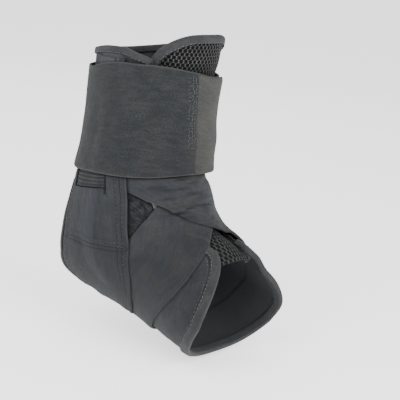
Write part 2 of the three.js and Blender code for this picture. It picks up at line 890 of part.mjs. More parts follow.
function add(name, geometry, finish) {
  const material = new THREE.MeshStandardMaterial({ ...materials[finish], metalness: 0 });
  const mesh = new THREE.Mesh(geometry, material);
  mesh.name = name;
  brace.add(mesh);
}

add("tongue", tongue(), "mesh");
add("quarter_near", quarter(1), "nylon");
add("quarter_far", quarter(-1), "nylon");
add("side_panel_near", sidePanel(1), "nylon");
add("side_panel_far", sidePanel(-1), "nylon");
add("window_webbing_near", windowWebbing(1), "webbing");
add("window_webbing_far", windowWebbing(-1), "webbing");
add("strap_under", strap(false), "strapping");
add("strap_over", strap(true), "strapping");
add("cuff_band", cuffBand(), "elastic");
add("cuff_tab", cuffTab(), "tab");
add("top_binding", topBinding(), "tape");
add("heel_binding", heelBinding(), "tape");
add("toe_binding", toeBinding(), "tape");
add("tongue_binding", tongueBinding(), "tape");
add("lace", lace(), "lace");
for (const turn of laceTurns) {
  const side = turn.side > 0 ? "near" : "far";
  add(`lace_loop_${side}_${laceTurns.indexOf(turn) + 1}`, laceLoop(turn), "lace");
}

export default brace;
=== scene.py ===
# Lace-up ankle brace in the shape it has when worn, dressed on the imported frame.
import math
from functools import partial

import bpy
import numpy as np
from mathutils import Matrix, Vector


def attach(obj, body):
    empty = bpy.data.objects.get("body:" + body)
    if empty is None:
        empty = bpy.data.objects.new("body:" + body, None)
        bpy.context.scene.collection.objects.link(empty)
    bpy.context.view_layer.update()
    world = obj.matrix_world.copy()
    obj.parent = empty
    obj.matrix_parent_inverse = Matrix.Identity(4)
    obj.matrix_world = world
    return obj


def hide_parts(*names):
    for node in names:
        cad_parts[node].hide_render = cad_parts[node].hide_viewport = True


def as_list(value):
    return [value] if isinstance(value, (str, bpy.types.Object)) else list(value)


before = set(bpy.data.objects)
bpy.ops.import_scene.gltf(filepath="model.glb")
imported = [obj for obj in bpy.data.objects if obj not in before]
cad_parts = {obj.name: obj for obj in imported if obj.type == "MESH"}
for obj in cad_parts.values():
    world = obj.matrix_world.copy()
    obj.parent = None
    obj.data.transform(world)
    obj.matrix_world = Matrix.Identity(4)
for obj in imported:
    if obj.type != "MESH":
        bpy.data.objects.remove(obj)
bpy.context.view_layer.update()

# Lengths are in millimetres, and a mesh is made in metres. Every piece lies on one form. A
# place on the form is a level, from 0 at the calf to 11 at the ball of the foot, and an angle
# round the leg, 0 in front, 90 on the near side (-Y), 180 behind. A height is the distance
# outwards from the form. Most sizes and tables are the ones of the solid model.
METRES = 0.001
LEG_HEIGHT = 130
SOLE_DROP = 87
FOOT_REACH = 100
FOOT_WIDTH = 90
CLEARANCE = 0.5
SEAM_OVERLAP = 0.15
TONGUE_THICKNESS = 2
TONGUE_FLARE = 4.5
QUARTER_THICKNESS = 1.4
STRAP_THICKNESS = 1
PANEL_THICKNESS = 1.2
WEBBING_THICKNESS = 0.7
RIB_HEIGHT = 0.5
WINDOW_RIBS = 9
CUFF_THICKNESS = 1.6
CUFF_HEIGHT = 73
BINDING_THICKNESS = 0.7
BINDING_GAP = 0.45
BINDING_WIDTH = 3.4
TONGUE_BINDING_WIDTH = 4.2
LACE_THICKNESS = 0.8
LACE_WIDTH = 4
LOOP_LENGTH = 6
LOOP_REACH = 5
STEP = 1e-3


def table(columns, rows):
    """Columns of a table by name."""
    return dict(zip(columns.split(), np.array(rows, float).T))


SECTIONS = table(
    "front_x front_z back_x back_z half_width front_round back_round",
    [
        [0.395, 1.004, -0.365, 0.992, 0.79, 1, 0.95], [0.36, 0.758, -0.37, 0.754, 0.755, 1, 1],
        [0.345, 0.512, -0.39, 0.496, 0.735, 1, 1.05], [0.328, 0.338, -0.41, 0.277, 0.74, 1, 1.1],
        [0.326, 0.188, -0.455, 0.042, 0.79, 1, 1.05], [0.405, 0.056, -0.555, -0.293, 0.81, 1, 1],
        [0.484, -0.053, -0.55, -0.586, 0.81, 1, 0.9], [0.58, -0.144, -0.32, -0.7, 0.8, 1.1, 0.85],
        [0.7, -0.205, -0.005, -0.74, 0.835, 1.2, 0.8], [0.845, -0.305, 0.3, -0.83, 0.9, 1.2, 0.78],
        [1.0, -0.414, 0.59, -0.931, 0.965, 1.15, 0.76], [1.16, -0.529, 0.88, -1, 1, 1.1, 0.75],
    ],
)


def smooth(value, start, end):
    f = np.clip((value - start) / (end - start), 0, 1)
    return f * f * (3 - 2 * f)


def fade(value, start, end):
    """1 before the start and 0 past the end, with a smooth step between them."""
    return 1 - smooth(value, start, end)


def bell(distance, width):
    return np.exp(-((distance / width) ** 2))


def mix(a, b, f):
    return a + (b - a) * f


def folded(angle):
    return (np.asarray(angle, float) + 180) % 360 - 180


def section_at(level):
    """The form's section at a level, on a smooth curve through the table's rows."""
    last = len(SECTIONS["front_x"]) - 1
    t = np.clip(level, 0, last - STEP)
    i = np.floor(t).astype(int)
    f = t - i
    near = [np.clip(i + k, 0, last) for k in (-1, 0, 1, 2)]

    def value(name):
        a, b, c, d = (SECTIONS[name][k] for k in near)
        bend = 2 * a - 5 * b + 4 * c - d
        twist = -a + 3 * b - 3 * c + d
        return (2 * b + (c - a) * f + bend * f**2 + twist * f**3) / 2

    section = {name: value(name) for name in SECTIONS}
    for end in ("front", "back"):
        section[f"{end}_x"] *= FOOT_REACH
        section[f"{end}_z"] *= np.where(section[f"{end}_z"] > 0, LEG_HEIGHT, SOLE_DROP)
    section["half_width"] = section["half_width"] * FOOT_WIDTH / 2
    return section


def rounded(value, power):
    return np.sign(value) * np.abs(value) ** power


TURNS = table("level turn", [[3.2, 0], [4, 4], [6, 4.5], [7.5, 6], [8.6, 6], [9.6, 3], [10.6, 0]])


def turned(level, angle):
    """Angles with the pieces in front of each ankle bone turned a little to the front."""
    a = np.abs(folded(angle))
    share = smooth(a, 0, 40) * fade(a, 60, 96)
    turn = np.interp(level, TURNS["level"], TURNS["turn"])
    return angle - np.sign(folded(angle)) * turn * share


def on_form(level, angle):
    level, angle = np.broadcast_arrays(np.asarray(level, float), np.asarray(angle, float))
    angle = turned(level, angle)
    s = section_at(level)
    cosine, sine = np.cos(np.radians(angle)), np.sin(np.radians(angle))
    power = mix(s["back_round"], s["front_round"], (1 + cosine) / 2)
    along = rounded(cosine, power)
    x = (s["front_x"] + s["back_x"]) / 2 + (s["front_x"] - s["back_x"]) / 2 * along
    y = -s["half_width"] * rounded(sine, power)
    z = (s["front_z"] + s["back_z"]) / 2 + (s["front_z"] - s["back_z"]) / 2 * along
    return np.stack([x, y, z], axis=-1)


def length_of(vectors):
    return np.linalg.norm(vectors, axis=-1, keepdims=True)


def unit(vectors):
    return vectors / np.maximum(length_of(vectors), 1e-12)


def tangents(level, angle):
    """How a point of the form moves for one level and for one degree."""
    t = np.maximum(level, STEP)
    per_level = (on_form(t + STEP, angle) - on_form(t - STEP, angle)) / (2 * STEP)
    per_degree = (on_form(t, angle + STEP) - on_form(t, angle - STEP)) / (2 * STEP)
    return per_level, per_degree


def normal_at(level, angle):
    per_level, per_degree = tangents(level, angle)
    return unit(np.cross(per_degree, per_level))


def place(level, angle, height):
    level, angle, height = np.broadcast_arrays(level, angle, height)
    return on_form(level, angle) + normal_at(level, angle) * height[..., None]


def square_step(level, angle, closed=False):
    """The steps for one millimetre square to a line of places, to its left seen from outside."""
    if closed:
        levels = np.roll(level, -1) - np.roll(level, 1)
        angles = folded(np.roll(angle, -1) - np.roll(angle, 1))
    else:
        levels, angles = np.gradient(level), np.gradient(angle)
    per_level, per_degree = tangents(level, angle)
    run = per_level * levels[..., None] + per_degree * angles[..., None]
    side = unit(np.cross(unit(np.cross(per_degree, per_level)), run))
    ll = (per_level**2).sum(-1)
    dd = (per_degree**2).sum(-1)
    ld = (per_level * per_degree).sum(-1)
    to_level = (per_level * side).sum(-1)
    to_degree = (per_degree * side).sum(-1)
    whole = ll * dd - ld * ld
    return (to_level * dd - to_degree * ld) / whole, (to_degree * ll - to_level * ld) / whole


def curve(xs, ys):
    """A smooth curve through points, which never swings past them."""
    xs, ys = np.asarray(xs, float), np.asarray(ys, float)
    rise = np.diff(ys) / np.diff(xs)
    both = rise[:-1] * rise[1:]
    total = rise[:-1] + rise[1:]
    inner = np.where(both > 0, 2 * both / np.where(total == 0, 1, total), 0)
    slope = np.concatenate([rise[:1], inner, rise[-1:]])

    def value(x):
        x = np.clip(x, xs[0], xs[-1])
        i = np.clip(np.searchsorted(xs, x, side="right") - 1, 0, len(xs) - 2)
        width = xs[i + 1] - xs[i]
        f = (x - xs[i]) / width
        start = slope[i] * width * f * (1 - f) ** 2
        end = slope[i + 1] * width * f * f * (1 - f)
        return mix(ys[i], ys[i + 1], f * f * (3 - 2 * f)) + start - end

    return value


def shares_of(rows, name):
    return curve(np.linspace(0, 1, len(rows[name])), rows[name])


def edge_of(rows, which, side=1):
    """The front or rear edge of a table, as a function from a share to a level and an angle."""
    levels, angles = shares_of(rows, f"{which}_level"), shares_of(rows, f"{which}_angle")
    return lambda share: (levels(share), side * angles(share))


# Heights of the layers, from the form outwards.
TONGUE_SIDES = table(
    "level half_angle",
    [
        [0.62, 10], [0.635, 20], [0.69, 31], [0.8, 41], [0.95, 49.5], [1.12, 54.5], [1.5, 57],
        [3, 57], [4, 56], [5, 53], [6, 48], [7, 43], [8, 38], [8.8, 34],
    ],
)
TONGUE_END = TONGUE_SIDES["level"][-1]
TONGUE_LIFT = TONGUE_THICKNESS + BINDING_GAP + BINDING_THICKNESS
tongue_half = curve(TONGUE_SIDES["level"], TONGUE_SIDES["half_angle"])


def base(level, angle):
    beside = np.abs(folded(angle)) - tongue_half(np.maximum(level, 1.5))
    past = level - TONGUE_END
    return TONGUE_LIFT * fade(beside, 4, 30) * fade(past, 0.1, 0.7)


def flare(level, angle):
    down = smooth(level, 1, 1.9)
    aside = smooth(np.abs(angle), 32, 56)
    return TONGUE_FLARE * (1 - down) * (1 - aside)


BINDING_STEP = BINDING_THICKNESS + BINDING_GAP


def crossing(level, angle):
    a = np.abs(folded(angle))
    top = fade(level, 1.25, 2.6) * fade(a, 62, 96)
    toe = smooth(level, 7.9, 8.45) * fade(a, 44, 70)
    return BINDING_STEP * np.maximum(top, toe)


def quarter_low(level, angle):
    return base(level, angle) + crossing(level, angle) + CLEARANCE


def quarter_high(level, angle):
    return quarter_low(level, angle) + QUARTER_THICKNESS


STRAP_CLEARANCE = CLEARANCE + 0.15
STRAP_STEP = STRAP_THICKNESS + STRAP_CLEARANCE
PANEL_STEP = PANEL_THICKNESS + CLEARANCE


def sole_room(angle):
    return 0.35 * smooth(np.abs(folded(angle)), 105, 145)


EDGE_COLUMNS = "front_level front_angle rear_level rear_angle"
PANEL_EDGES = table(
    EDGE_COLUMNS,
    [
        [1.17, 80, 1.19, 118], [1.9, 77, 1.9, 118], [2.6, 72, 2.5, 118], [3.2, 68, 3.15, 119],
        [3.55, 66, 3.5, 126], [3.94, 64.5, 3.8, 134], [4.33, 63.5, 4.15, 131],
        [4.69, 63, 4.5, 126], [5.2, 64, 4.95, 123], [5.75, 66, 5.35, 121.5],
        [6.23, 69, 5.75, 121.5], [6.85, 76, 6.1, 126], [7.48, 85.5, 6.4, 133],
        [8.0, 96.5, 6.62, 139], [8.35, 108, 6.85, 145], [8.6, 120, 7.05, 150],
        [8.72, 135, 7.15, 154],
    ],
)
panel_front = curve(PANEL_EDGES["front_level"], PANEL_EDGES["front_angle"])


def over_strap(level, angle):
    inward = np.abs(folded(angle)) - panel_front(level)
    side = fade(inward, 22, 34) * smooth(level, 2.3, 2.7)
    return np.maximum(side, smooth(level, 7.3, 7.75))


def panel_low(level, angle):
    over = over_strap(level, angle) * (STRAP_STEP + sole_room(angle))
    return quarter_high(level, angle) + CLEARANCE + over


def under_cuff(level, angle):
    a = np.abs(folded(angle))
    panel = smooth(a, 50, 62) * fade(a, 142, 158)
    binding = smooth(a, 34, 46) * fade(level, 1.25, 1.6)
    strap_start = 3.6 - 0.7 * np.minimum(1, a / 60)
    straps = 2 - smooth(a, 45, 62) - smooth(a, 88, 104)
    strap_share = smooth(level - strap_start, -1.4, -0.1)
    over = np.maximum(panel * PANEL_STEP, binding * BINDING_STEP)
    return over + straps * strap_share * STRAP_STEP


CUFF_STEP = CUFF_THICKNESS + CLEARANCE


def cuff_low(level, angle):
    return quarter_high(level, angle) + under_cuff(level, angle) + CLEARANCE


QUARTER_EDGES = table(
    EDGE_COLUMNS,
    [
        [1.14, 53, 1.17, 200], [1.7, 52.2, 1.75, 200], [2.3, 51.3, 2.4, 200], [2.85, 50.7, 3, 200],
        [3.4, 50, 3.5, 212], [3.9, 49.3, 3.98, 180], [4.5, 48.3, 4.12, 147], [5.1, 46, 4.5, 132],
        [5.65, 43, 5, 129], [6.2, 39.8, 5.45, 127.5], [6.75, 37.3, 5.8, 127.5],
        [7.3, 34, 6.05, 131], [7.85, 30, 6.3, 137], [8.4, 29, 6.55, 143], [8.95, 34.5, 6.8, 152],
        [9.5, 46.5, 7.05, 180], [9.85, 58, 7.9, 208], [10.12, 72, 8.9, 208], [10.3, 88, 9.7, 208],
        [10.38, 110, 10.4, 208],
    ],
)
QUARTER_ROWS = len(QUARTER_EDGES["front_level"]) - 1
BACK_SEAM_ROW, SOLE_SEAM_ROW = np.flatnonzero(QUARTER_EDGES["rear_angle"] == 180)
QUARTER_TOP = table(
    "angle level",
    [
        [53, 1.14], [60, 1.08], [70, 1.03], [84, 0.98], [104, 1], [131, 1.09], [155, 1.15],
        [180, 1.17],
    ],
)
TOE_BINDING_START = 8
TOE_TAPE_WIDTH = 5
quarter_front = edge_of(QUARTER_EDGES, "front")
quarter_rear = edge_of(QUARTER_EDGES, "rear")
quarter_top = curve(QUARTER_TOP["angle"], QUARTER_TOP["level"])
lacing_angle = curve(QUARTER_EDGES["front_level"], QUARTER_EDGES["front_angle"])


def seam_angle(level):
    """The angle just past 180 where a half ends, so that no light comes through the seam."""
    s = section_at(level)
    return 180 + np.degrees(np.arcsin((SEAM_OVERLAP / s["half_width"]) ** (1 / s["back_round"])))


def on_quarter(u, v):
    front_level, front_angle = quarter_front(u)
    rear_level, rear_angle = quarter_rear(u)
    rear_angle = np.minimum(rear_angle, seam_angle(rear_level))
    level, angle = mix(front_level, rear_level, v), mix(front_angle, rear_angle, v)
    return level + (quarter_top(angle) - level) * fade(u, 0, 0.12), angle


UNDER_EDGES = table(
    EDGE_COLUMNS,
    [
        [9.32, 180, 8.05, 180], [9.32, 150, 8.1, 150], [9.28, 118, 8.2, 122],
        [9.15, 83, 7.85, 103], [8.92, 65, 7.3, 90], [8.58, 47, 6.55, 77], [8, 27.5, 5.85, 60],
        [6.9, -2, 5.13, 43.5], [6.15, -19, 4.5, 26], [5.56, -29, 3.98, 6],
        [5.17, -38.5, 3.55, -14], [4.87, -49, 3.3, -32], [4.55, -60, 3.1, -50],
        [4.35, -72, 3.02, -67], [4.25, -82, 2.98, -82],
    ],
)
OVER_EDGES = dict(UNDER_EDGES)
OVER_EDGES["front_level"] = np.array(
    [9.32, 9.32, 9.26, 9.05, 8.7, 8.15, 7.45, 6.96, 6.15, 5.56, 5.17, 4.87, 4.55, 4.35, 4.25]
)
OVER_EDGES["front_angle"] = np.array(
    [180, 150, 118, 85, 64, 43, 22, 2, -19, -29, -38.5, -49, -60, -72, -82]
)
CUFF_EDGES = table(
    "angle level drop",
    [
        [-180, 1.42, 0.94], [-128, 1.42, 0.95], [-76, 1.37, 0.93], [-40, 1.4, 0.905],
        [-10, 1.37, 0.92], [18, 1.26, 0.96], [50, 1.18, 1], [76, 1.2, 1], [104, 1.3, 0.97],
        [128, 1.42, 0.94], [180, 1.42, 0.94],
    ],
)
TAB_START = 13
TAB_END = -36
BAND_END = 360 + TAB_START - 4
cuff_top = curve(CUFF_EDGES["angle"], CUFF_EDGES["level"])
cuff_drop = curve(CUFF_EDGES["angle"], CUFF_EDGES["drop"])


def level_below(level, angle, length):
    """The level that lies a length below another one, measured down the form."""
    steps = np.arange(0, 4, 0.02)
    levels = np.asarray(level)[:, None] + steps
    points = on_form(levels, np.asarray(angle)[:, None])
    gone = np.cumsum(length_of(np.diff(points, axis=1))[..., 0], axis=1)
    gone = np.concatenate([np.zeros((len(gone), 1)), gone], axis=1)
    wanted = np.broadcast_to(length, gone.shape[:1])
    return np.array([np.interp(w, g, l) for w, g, l in zip(wanted, gone, levels)])


# Making meshes.
def linked(name, data):
    made = bpy.data.objects.new(name, data)
    bpy.context.scene.collection.objects.link(made)
    return made


def make_object(name, points, faces, attributes=None):
    """A smooth mesh object from points in millimetres, faces of four corners each, and
    values for each point."""
    faces = np.asarray(faces, int)
    used = np.zeros(len(points), bool)
    used[faces.ravel()] = True
    number = np.cumsum(used) - 1
    points, faces = points[used], number[faces]
    a, b, c, d = (points[faces[:, k]] for k in range(4))
    volume = (a * np.cross(b, c)).sum() + (a * np.cross(c, d)).sum()
    if volume < 0:
        faces = faces[:, ::-1]
    mesh = bpy.data.meshes.new(name)
    mesh.vertices.add(len(points))
    mesh.vertices.foreach_set("co", (points * METRES).astype(np.float32).ravel())
    mesh.loops.add(faces.size)
    mesh.loops.foreach_set("vertex_index", faces.astype(np.int32).ravel())
    mesh.polygons.add(len(faces))
    mesh.polygons.foreach_set("loop_start", np.arange(0, faces.size, 4, dtype=np.int32))
    mesh.update(calc_edges=True)
    mesh.shade_smooth()
    for key, values in (attributes or {}).items():
        values = np.asarray(values, np.float32)[used]
        kind, field = ("FLOAT", "value") if values.ndim == 1 else ("FLOAT_VECTOR", "vector")
        layer = mesh.attributes.new(key, kind, "POINT")
        layer.data.foreach_set(field, values.ravel())
    made = linked(name, mesh)
    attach(made, "root")
    return made


def lines(length, pitch, rim=0.5):
    """Shares of a length for the lines of a net, closer together at both rims."""
    near = np.array([0, 0.1, 0.32, 0.64, 1]) * rim / length
    count = max(2, round((length - 2 * rim) / pitch) + 1)
    middle = np.linspace(near[-1], 1 - near[-1], count)
    return np.concatenate([near[:-1], middle, 1 - near[-2::-1]])


def gone_along(points, axis):
    """How far each point of a net is from its first line, along an axis."""
    steps = length_of(np.diff(points, axis=axis))[..., 0]
    first = np.zeros_like(np.take(steps, [0], axis=axis))
    return np.concatenate([first, np.cumsum(steps, axis=axis)], axis=axis)


def net_faces(keep):
    """Faces of a closed sheet over a net of cells: both sides, and walls round what is kept."""
    columns, rows = keep.shape

    def at(i, j, side):
        return (side * (columns + 1) + i) * (rows + 1) + j

    i, j = np.nonzero(keep)
    faces = [
        np.stack([at(i, j, 1), at(i + 1, j, 1), at(i + 1, j + 1, 1), at(i, j + 1, 1)], 1),
        np.stack([at(i, j, 0), at(i, j + 1, 0), at(i + 1, j + 1, 0), at(i + 1, j, 0)], 1),
    ]
    padded = np.pad(keep, 1)
    sides = [(0, -1, 0, 0, 1, 0), (1, 0, 1, 0, 1, 1), (0, 1, 1, 1, 0, 1), (-1, 0, 0, 1, 0, 0)]
    for di, dj, a, b, c, d in sides:
        open_side = ~padded[i + 1 + di, j + 1 + dj]
        p, q = i[open_side], j[open_side]
        wall = [at(p + a, q + b, 0), at(p + c, q + d, 0), at(p + c, q + d, 1), at(p + a, q + b, 1)]
        faces.append(np.stack(wall, 1))
    return np.concatenate(faces)


def between(first, second, us, vs):
    """Places on a net between two edges."""
    return tuple(mix(a[:, None], b[:, None], vs) for a, b in zip(first(us), second(us)))


HUG_WIDTH = 1.6
THINNEST_RIM = 0.12


def sheet_object(name, us, vs, places, low, high, hug=0, keep=None, extras=()):
    """A sheet of cloth on a net of places. Its rims are round, and they lie closer to what is
    below by the length hug. Extras give more values by name for each place."""
    level, angle = places(us, vs)
    form = on_form(level, angle)
    along, across = gone_along(form, 0), gone_along(form, 1)
    rim = np.minimum(
        np.minimum(along, along[-1:] - along), np.minimum(across, across[:, -1:] - across)
    )
    bottom, top = low(level, angle), high(level, angle)
    middle, half = (bottom + top) / 2, (top - bottom) / 2
    inside = np.clip(rim / np.maximum(half, 0.1), 0, 1)
    round_off = np.maximum(np.sqrt(1 - (1 - inside) ** 2), THINNEST_RIM)
    middle = middle - hug * bell(rim, HUG_WIDTH)
    heights = np.stack([middle - half * round_off, middle + half * round_off])
    points = form + heights[..., None] * normal_at(level, angle)
    cells = np.ones((len(us) - 1, len(vs) - 1), bool)
    if keep is not None:
        cells = keep((us[:-1, None] + us[1:, None]) / 2, (vs[:-1] + vs[1:]) / 2)
    side = np.stack([np.zeros_like(rim), np.ones_like(rim)])
    both = [np.broadcast_to(along, side.shape), np.broadcast_to(across, side.shape), side]
    values = {"cloth": np.stack(both, -1).reshape(-1, 3), "rim": np.stack([rim, rim]).ravel()}
    for key, function in dict(extras).items():
        value = function(level, angle)
        values[key] = np.stack([value, value]).reshape(-1, *value.shape[2:])
    return make_object(name, points.reshape(-1, 3), net_faces(cells), values)


def ripple(points, size, seed, count=16):
    """Smooth random waves of about a size, between about -2 and 2."""
    chance = np.random.default_rng(seed)
    ways = chance.normal(size=(count, 3))
    ways /= np.linalg.norm(ways, axis=1, keepdims=True)
    ways *= 2 * math.pi / size * chance.uniform(0.6, 1.5, (count, 1))
    phases = chance.uniform(0, 2 * math.pi, count)
    return np.sin(points @ ways.T + phases).sum(-1) / math.sqrt(count)


# The soft waves of each piece: their rise, their size and the seed of their random ways.
WAVES = {
    "tongue": [(0.125, 18, 5)],
    "quarter": [(0.12, 16, 7), (0.05, 5, 8)],
    "panel": [(0.12, 17, 11), (0.05, 5, 12)],
    "lower_strap": [(0.16, 20, 21), (0.04, 5, 23)],
    "upper_strap": [(0.16, 20, 22), (0.04, 5, 24)],
    "cuff": [(0.16, 24, 31), (0.04, 6, 32)],
    "tab": [(0.08, 15, 41)],
}


def waves(piece, level, angle):
    points = on_form(level, angle)
    return sum(rise * ripple(points, size, seed) for rise, size, seed in WAVES[piece])


def polyline_distance(level, angle, rows):
    """Distance over the form from places to a line through levels and angles."""
    rows = np.asarray(rows, float)
    shares = np.linspace(0, 1, len(rows))
    fine = np.linspace(0, 1, 14 * (len(rows) - 1) + 1)
    line = on_form(np.interp(fine, shares, rows[:, 0]), np.interp(fine, shares, rows[:, 1]))
    points = on_form(level, angle)
    flat = points.reshape(-1, 3)
    best = np.full(len(flat), np.inf)
    for a, b in zip(line[:-1], line[1:]):
        run = b - a
        share = np.clip((flat - a) @ run / max(run @ run, 1e-9), 0, 1)
        best = np.minimum(best, ((flat - a - share[:, None] * run) ** 2).sum(1))
    return np.sqrt(best).reshape(points.shape[:-1])


def resampled(points, pitch):
    """Places every pitch along a line of points, as indexes with fractions."""
    gone = gone_along(points, 0)
    count = max(1, int(gone[-1] / pitch))
    wanted = (np.arange(count) + 0.5) * gone[-1] / count
    return np.interp(wanted, gone, np.arange(len(points)))


def at_fraction(values, where):
    i = np.clip(np.floor(where).astype(int), 0, len(values) - 2)
    f = (where - i)[:, None]
    return mix(values[i], values[i + 1], f)


STITCH_RINGS = table("along round", [[-1, 0.25], [-0.75, 0.8], [0, 1], [0.75, 0.8], [1, 0.25]])
STITCH_SIDES = 6
STITCH_CAP = np.array([[0, 1, 2, 3], [0, 3, 4, 5]])
STITCH_PITCH = 2.7
STITCH_INSET = 0.7
STITCH_LIFT = 0.02
STITCH_RISE = 1.3
STITCH_SINK = 0.75
TOE_SEAM = 1.2
TAPE_PUCKER = 0.05
TAPE_TOUCH = 0.08
TAPE_CROWN = 0.14
TAPE_TUCK = 0.5
TAPE_WAVE = 0.06
TAPE_LEG_LINES = 7
TAPE_BEND_LINES = 9


def stitch_object(name, rows):
    """Sewing stitches as one mesh. Each row is a dict with the line's points and normals,
    the pitch, the stitch's length, its radius and how far it slants, in degrees, by turns."""
    turn = np.linspace(0, 2 * math.pi, STITCH_SIDES, endpoint=False)
    last = (len(STITCH_RINGS["along"]) - 1) * STITCH_SIDES
    ring, corner = np.divmod(np.arange(last), STITCH_SIDES)
    after = (corner + 1) % STITCH_SIDES
    walls = [(ring, corner), (ring + 1, corner), (ring + 1, after), (ring, after)]
    walls = np.stack([r * STITCH_SIDES + c for r, c in walls], 1)
    pattern = np.concatenate([walls, STITCH_CAP[:, [0, 3, 2, 1]], last + STITCH_CAP])
    points, faces, count = [], [], 0
    for row in rows:
        line = row["points"]
        where = resampled(line, row["pitch"])
        normal = unit(at_fraction(row["normals"], where))
        ahead = at_fraction(line, np.minimum(where + 0.5, len(line) - 1))
        forward = unit(ahead - at_fraction(line, np.maximum(where - 0.5, 0)))
        forward = unit(forward - normal * (forward * normal).sum(-1, keepdims=True))
        aside = np.cross(normal, forward)
        slant = np.radians(row["slant"]) * (1 - 2 * (np.arange(len(where)) % 2))
        cosine, sine = np.cos(slant)[:, None], np.sin(slant)[:, None]
        forward, aside = forward * cosine + aside * sine, aside * cosine - forward * sine
        lift = row["radius"] * (STITCH_RISE * STITCH_RINGS["round"] - STITCH_SINK)
        spine = at_fraction(line, where)[:, None]
        spine = spine + forward[:, None] * (STITCH_RINGS["along"] * row["length"] / 2)[:, None]
        spine = spine + normal[:, None] * lift[:, None]
        around = aside[:, None, None] * np.cos(turn)[:, None]
        around = around + normal[:, None, None] * np.sin(turn)[:, None]
        around = around * (row["radius"] * STITCH_RINGS["round"])[:, None, None]
        points.append((spine[:, :, None] + around).reshape(-1, 3))
        starts = count + np.arange(len(where)) * (last + STITCH_SIDES)
        faces.append((starts[:, None, None] + pattern).reshape(-1, 4))
        count += len(points[-1])
    return make_object(name, np.concatenate(points), np.concatenate(faces))


def stitch_row(level, angle, height, pitch=STITCH_PITCH, length=2, radius=0.2, slant=0):
    """A row of stitches along a line of places at a height."""
    return {
        "points": place(level, angle, height),
        "normals": normal_at(level, angle),
        "pitch": pitch,
        "length": length,
        "radius": radius,
        "slant": slant,
    }


def moved_in(level, angle, distance, closed=False):
    """A line of places moved to its left over the form."""
    level_step, angle_step = square_step(level, angle, closed)
    return level + level_step * distance, angle + angle_step * distance


def beside(level, angle, distances, closed=False):
    """A net of places at distances to the left of a line of places."""
    net = (level[:, None], angle[:, None])
    steps = square_step(level, angle, closed)
    return tuple(start + step[:, None] * distances for start, step in zip(net, steps))


def binding_object(name, level, angle, low, high, width, closed):
    """A folded tape round an edge. The cloth is to the left of the line's run."""
    leg = np.linspace(width, 0, TAPE_LEG_LINES)
    bend = np.linspace(0, math.pi, TAPE_BEND_LINES)[1:-1]
    crown = TAPE_CROWN * np.sin(np.pi * leg / width) ** 2
    crown[0] = -TAPE_TUCK

    def profile(reach, crown):
        inward = np.concatenate([leg, -reach * np.sin(bend), leg[::-1]])
        return inward, np.concatenate([reach + crown, reach * np.cos(bend), -reach - crown[::-1]])

    shell, core = profile(BINDING_GAP + BINDING_THICKNESS, crown), profile(TAPE_TOUCH, 0 * crown)
    inward, away = (np.concatenate([a, b[::-1]]) for a, b in zip(shell, core))
    outer = np.concatenate([np.ones_like(leg), (1 + np.cos(bend)) / 2, np.zeros_like(leg)])
    shown = np.repeat([1, 0], len(outer))
    outer = np.concatenate([outer, outer[::-1]])
    spots = len(inward)
    line = place(level, angle, high(level, angle))
    gone = gone_along(line, 0)
    pucker = TAPE_PUCKER * np.cos(2 * math.pi * gone / STITCH_PITCH)
    wave = pucker + TAPE_WAVE * ripple(line, 14, 3)
    places_level, places_angle = beside(level, angle, inward, closed)
    top, bottom = high(places_level, places_angle), low(places_level, places_angle)
    puffed = wave[:, None] * np.sign(away) * shown
    points = place(places_level, places_angle, mix(bottom, top, outer) + away + puffed)
    rings = len(level)
    i, k = np.arange(rings if closed else rings - 1)[:, None], np.arange(spots)
    after, following = (i + 1) % rings, (k + 1) % spots
    corners = [i * spots + k, i * spots + following, after * spots + following, after * spots + k]
    faces = np.stack(corners, -1).reshape(-1, 4)
    if not closed:
        k = np.arange(spots // 2 - 1)
        cap = np.stack([k, k + 1, spots - 2 - k, spots - 1 - k], 1)
        faces = np.concatenate([faces, cap[:, ::-1], (rings - 1) * spots + cap])
    across = np.cumsum(np.hypot(np.gradient(inward), np.gradient(away)))
    shape = (rings, spots)
    cloth = [np.broadcast_to(gone[:, None], shape), np.broadcast_to(across, shape), np.ones(shape)]
    rim = np.broadcast_to(np.abs(width - inward), shape)
    values = {"cloth": np.stack(cloth, -1).reshape(-1, 3), "rim": rim.ravel()}
    return make_object(name, points.reshape(-1, 3), faces, values)


def folds(rows, level, angle):
    """A height made of soft ridges and creases. Each row is a line from one place to another,
    with the half width and the rise of its ridge, and a crease has a negative rise."""
    total = np.zeros(np.shape(level))
    for from_level, from_angle, to_level, to_angle, half_width, rise in rows:
        ends = [[from_level, from_angle], [to_level, to_angle]]
        total = total + rise * bell(polyline_distance(level, angle, ends), half_width)
    return total


# The tongue, a padded net with its tape.
NET_ACROSS = 2.75
NET_DOWN = 2.3
NET_HOLE = (1.06, 1.34)
NET_DEPTH = 0.9
NET_SCALE = 0.61
NET_WIDER = 0.36
NET_LONGER = 0.34
COLUMNS = 196


NET_LEVELS = np.linspace(0.5, 9, 500)
tongue_down = curve(NET_LEVELS, gone_along(on_form(NET_LEVELS, 25), 0))


def net_hole(level, angle):
    """1 inside a hole of the net and 0 on its threads, where the tongue shows."""
    larger = smooth(level, 5, 6)
    x = angle * NET_SCALE * (1 - NET_WIDER * larger)
    down = tongue_down(level) * (1 - NET_LONGER * larger)
    row = np.round(down / NET_DOWN)
    shift = x - (row % 2) * NET_ACROSS / 2
    aside = (shift + NET_ACROSS / 2) % NET_ACROSS - NET_ACROSS / 2
    r = np.hypot(aside / NET_HOLE[0], (down - row * NET_DOWN) / NET_HOLE[1])
    shows = fade(level, 1.7, 1.8) + smooth(level, 6, 6.15)
    return fade(r, 0.8, 1.06) * shows


def tongue_high(level, angle):
    return flare(level, angle) + TONGUE_THICKNESS


def tongue_side(side, share):
    """A level and an angle on the tongue's edge, 1 for the near side and -1 for the far one."""
    level, half_angle = (shares_of(TONGUE_SIDES, name)(share) for name in TONGUE_SIDES)
    return level, side * half_angle


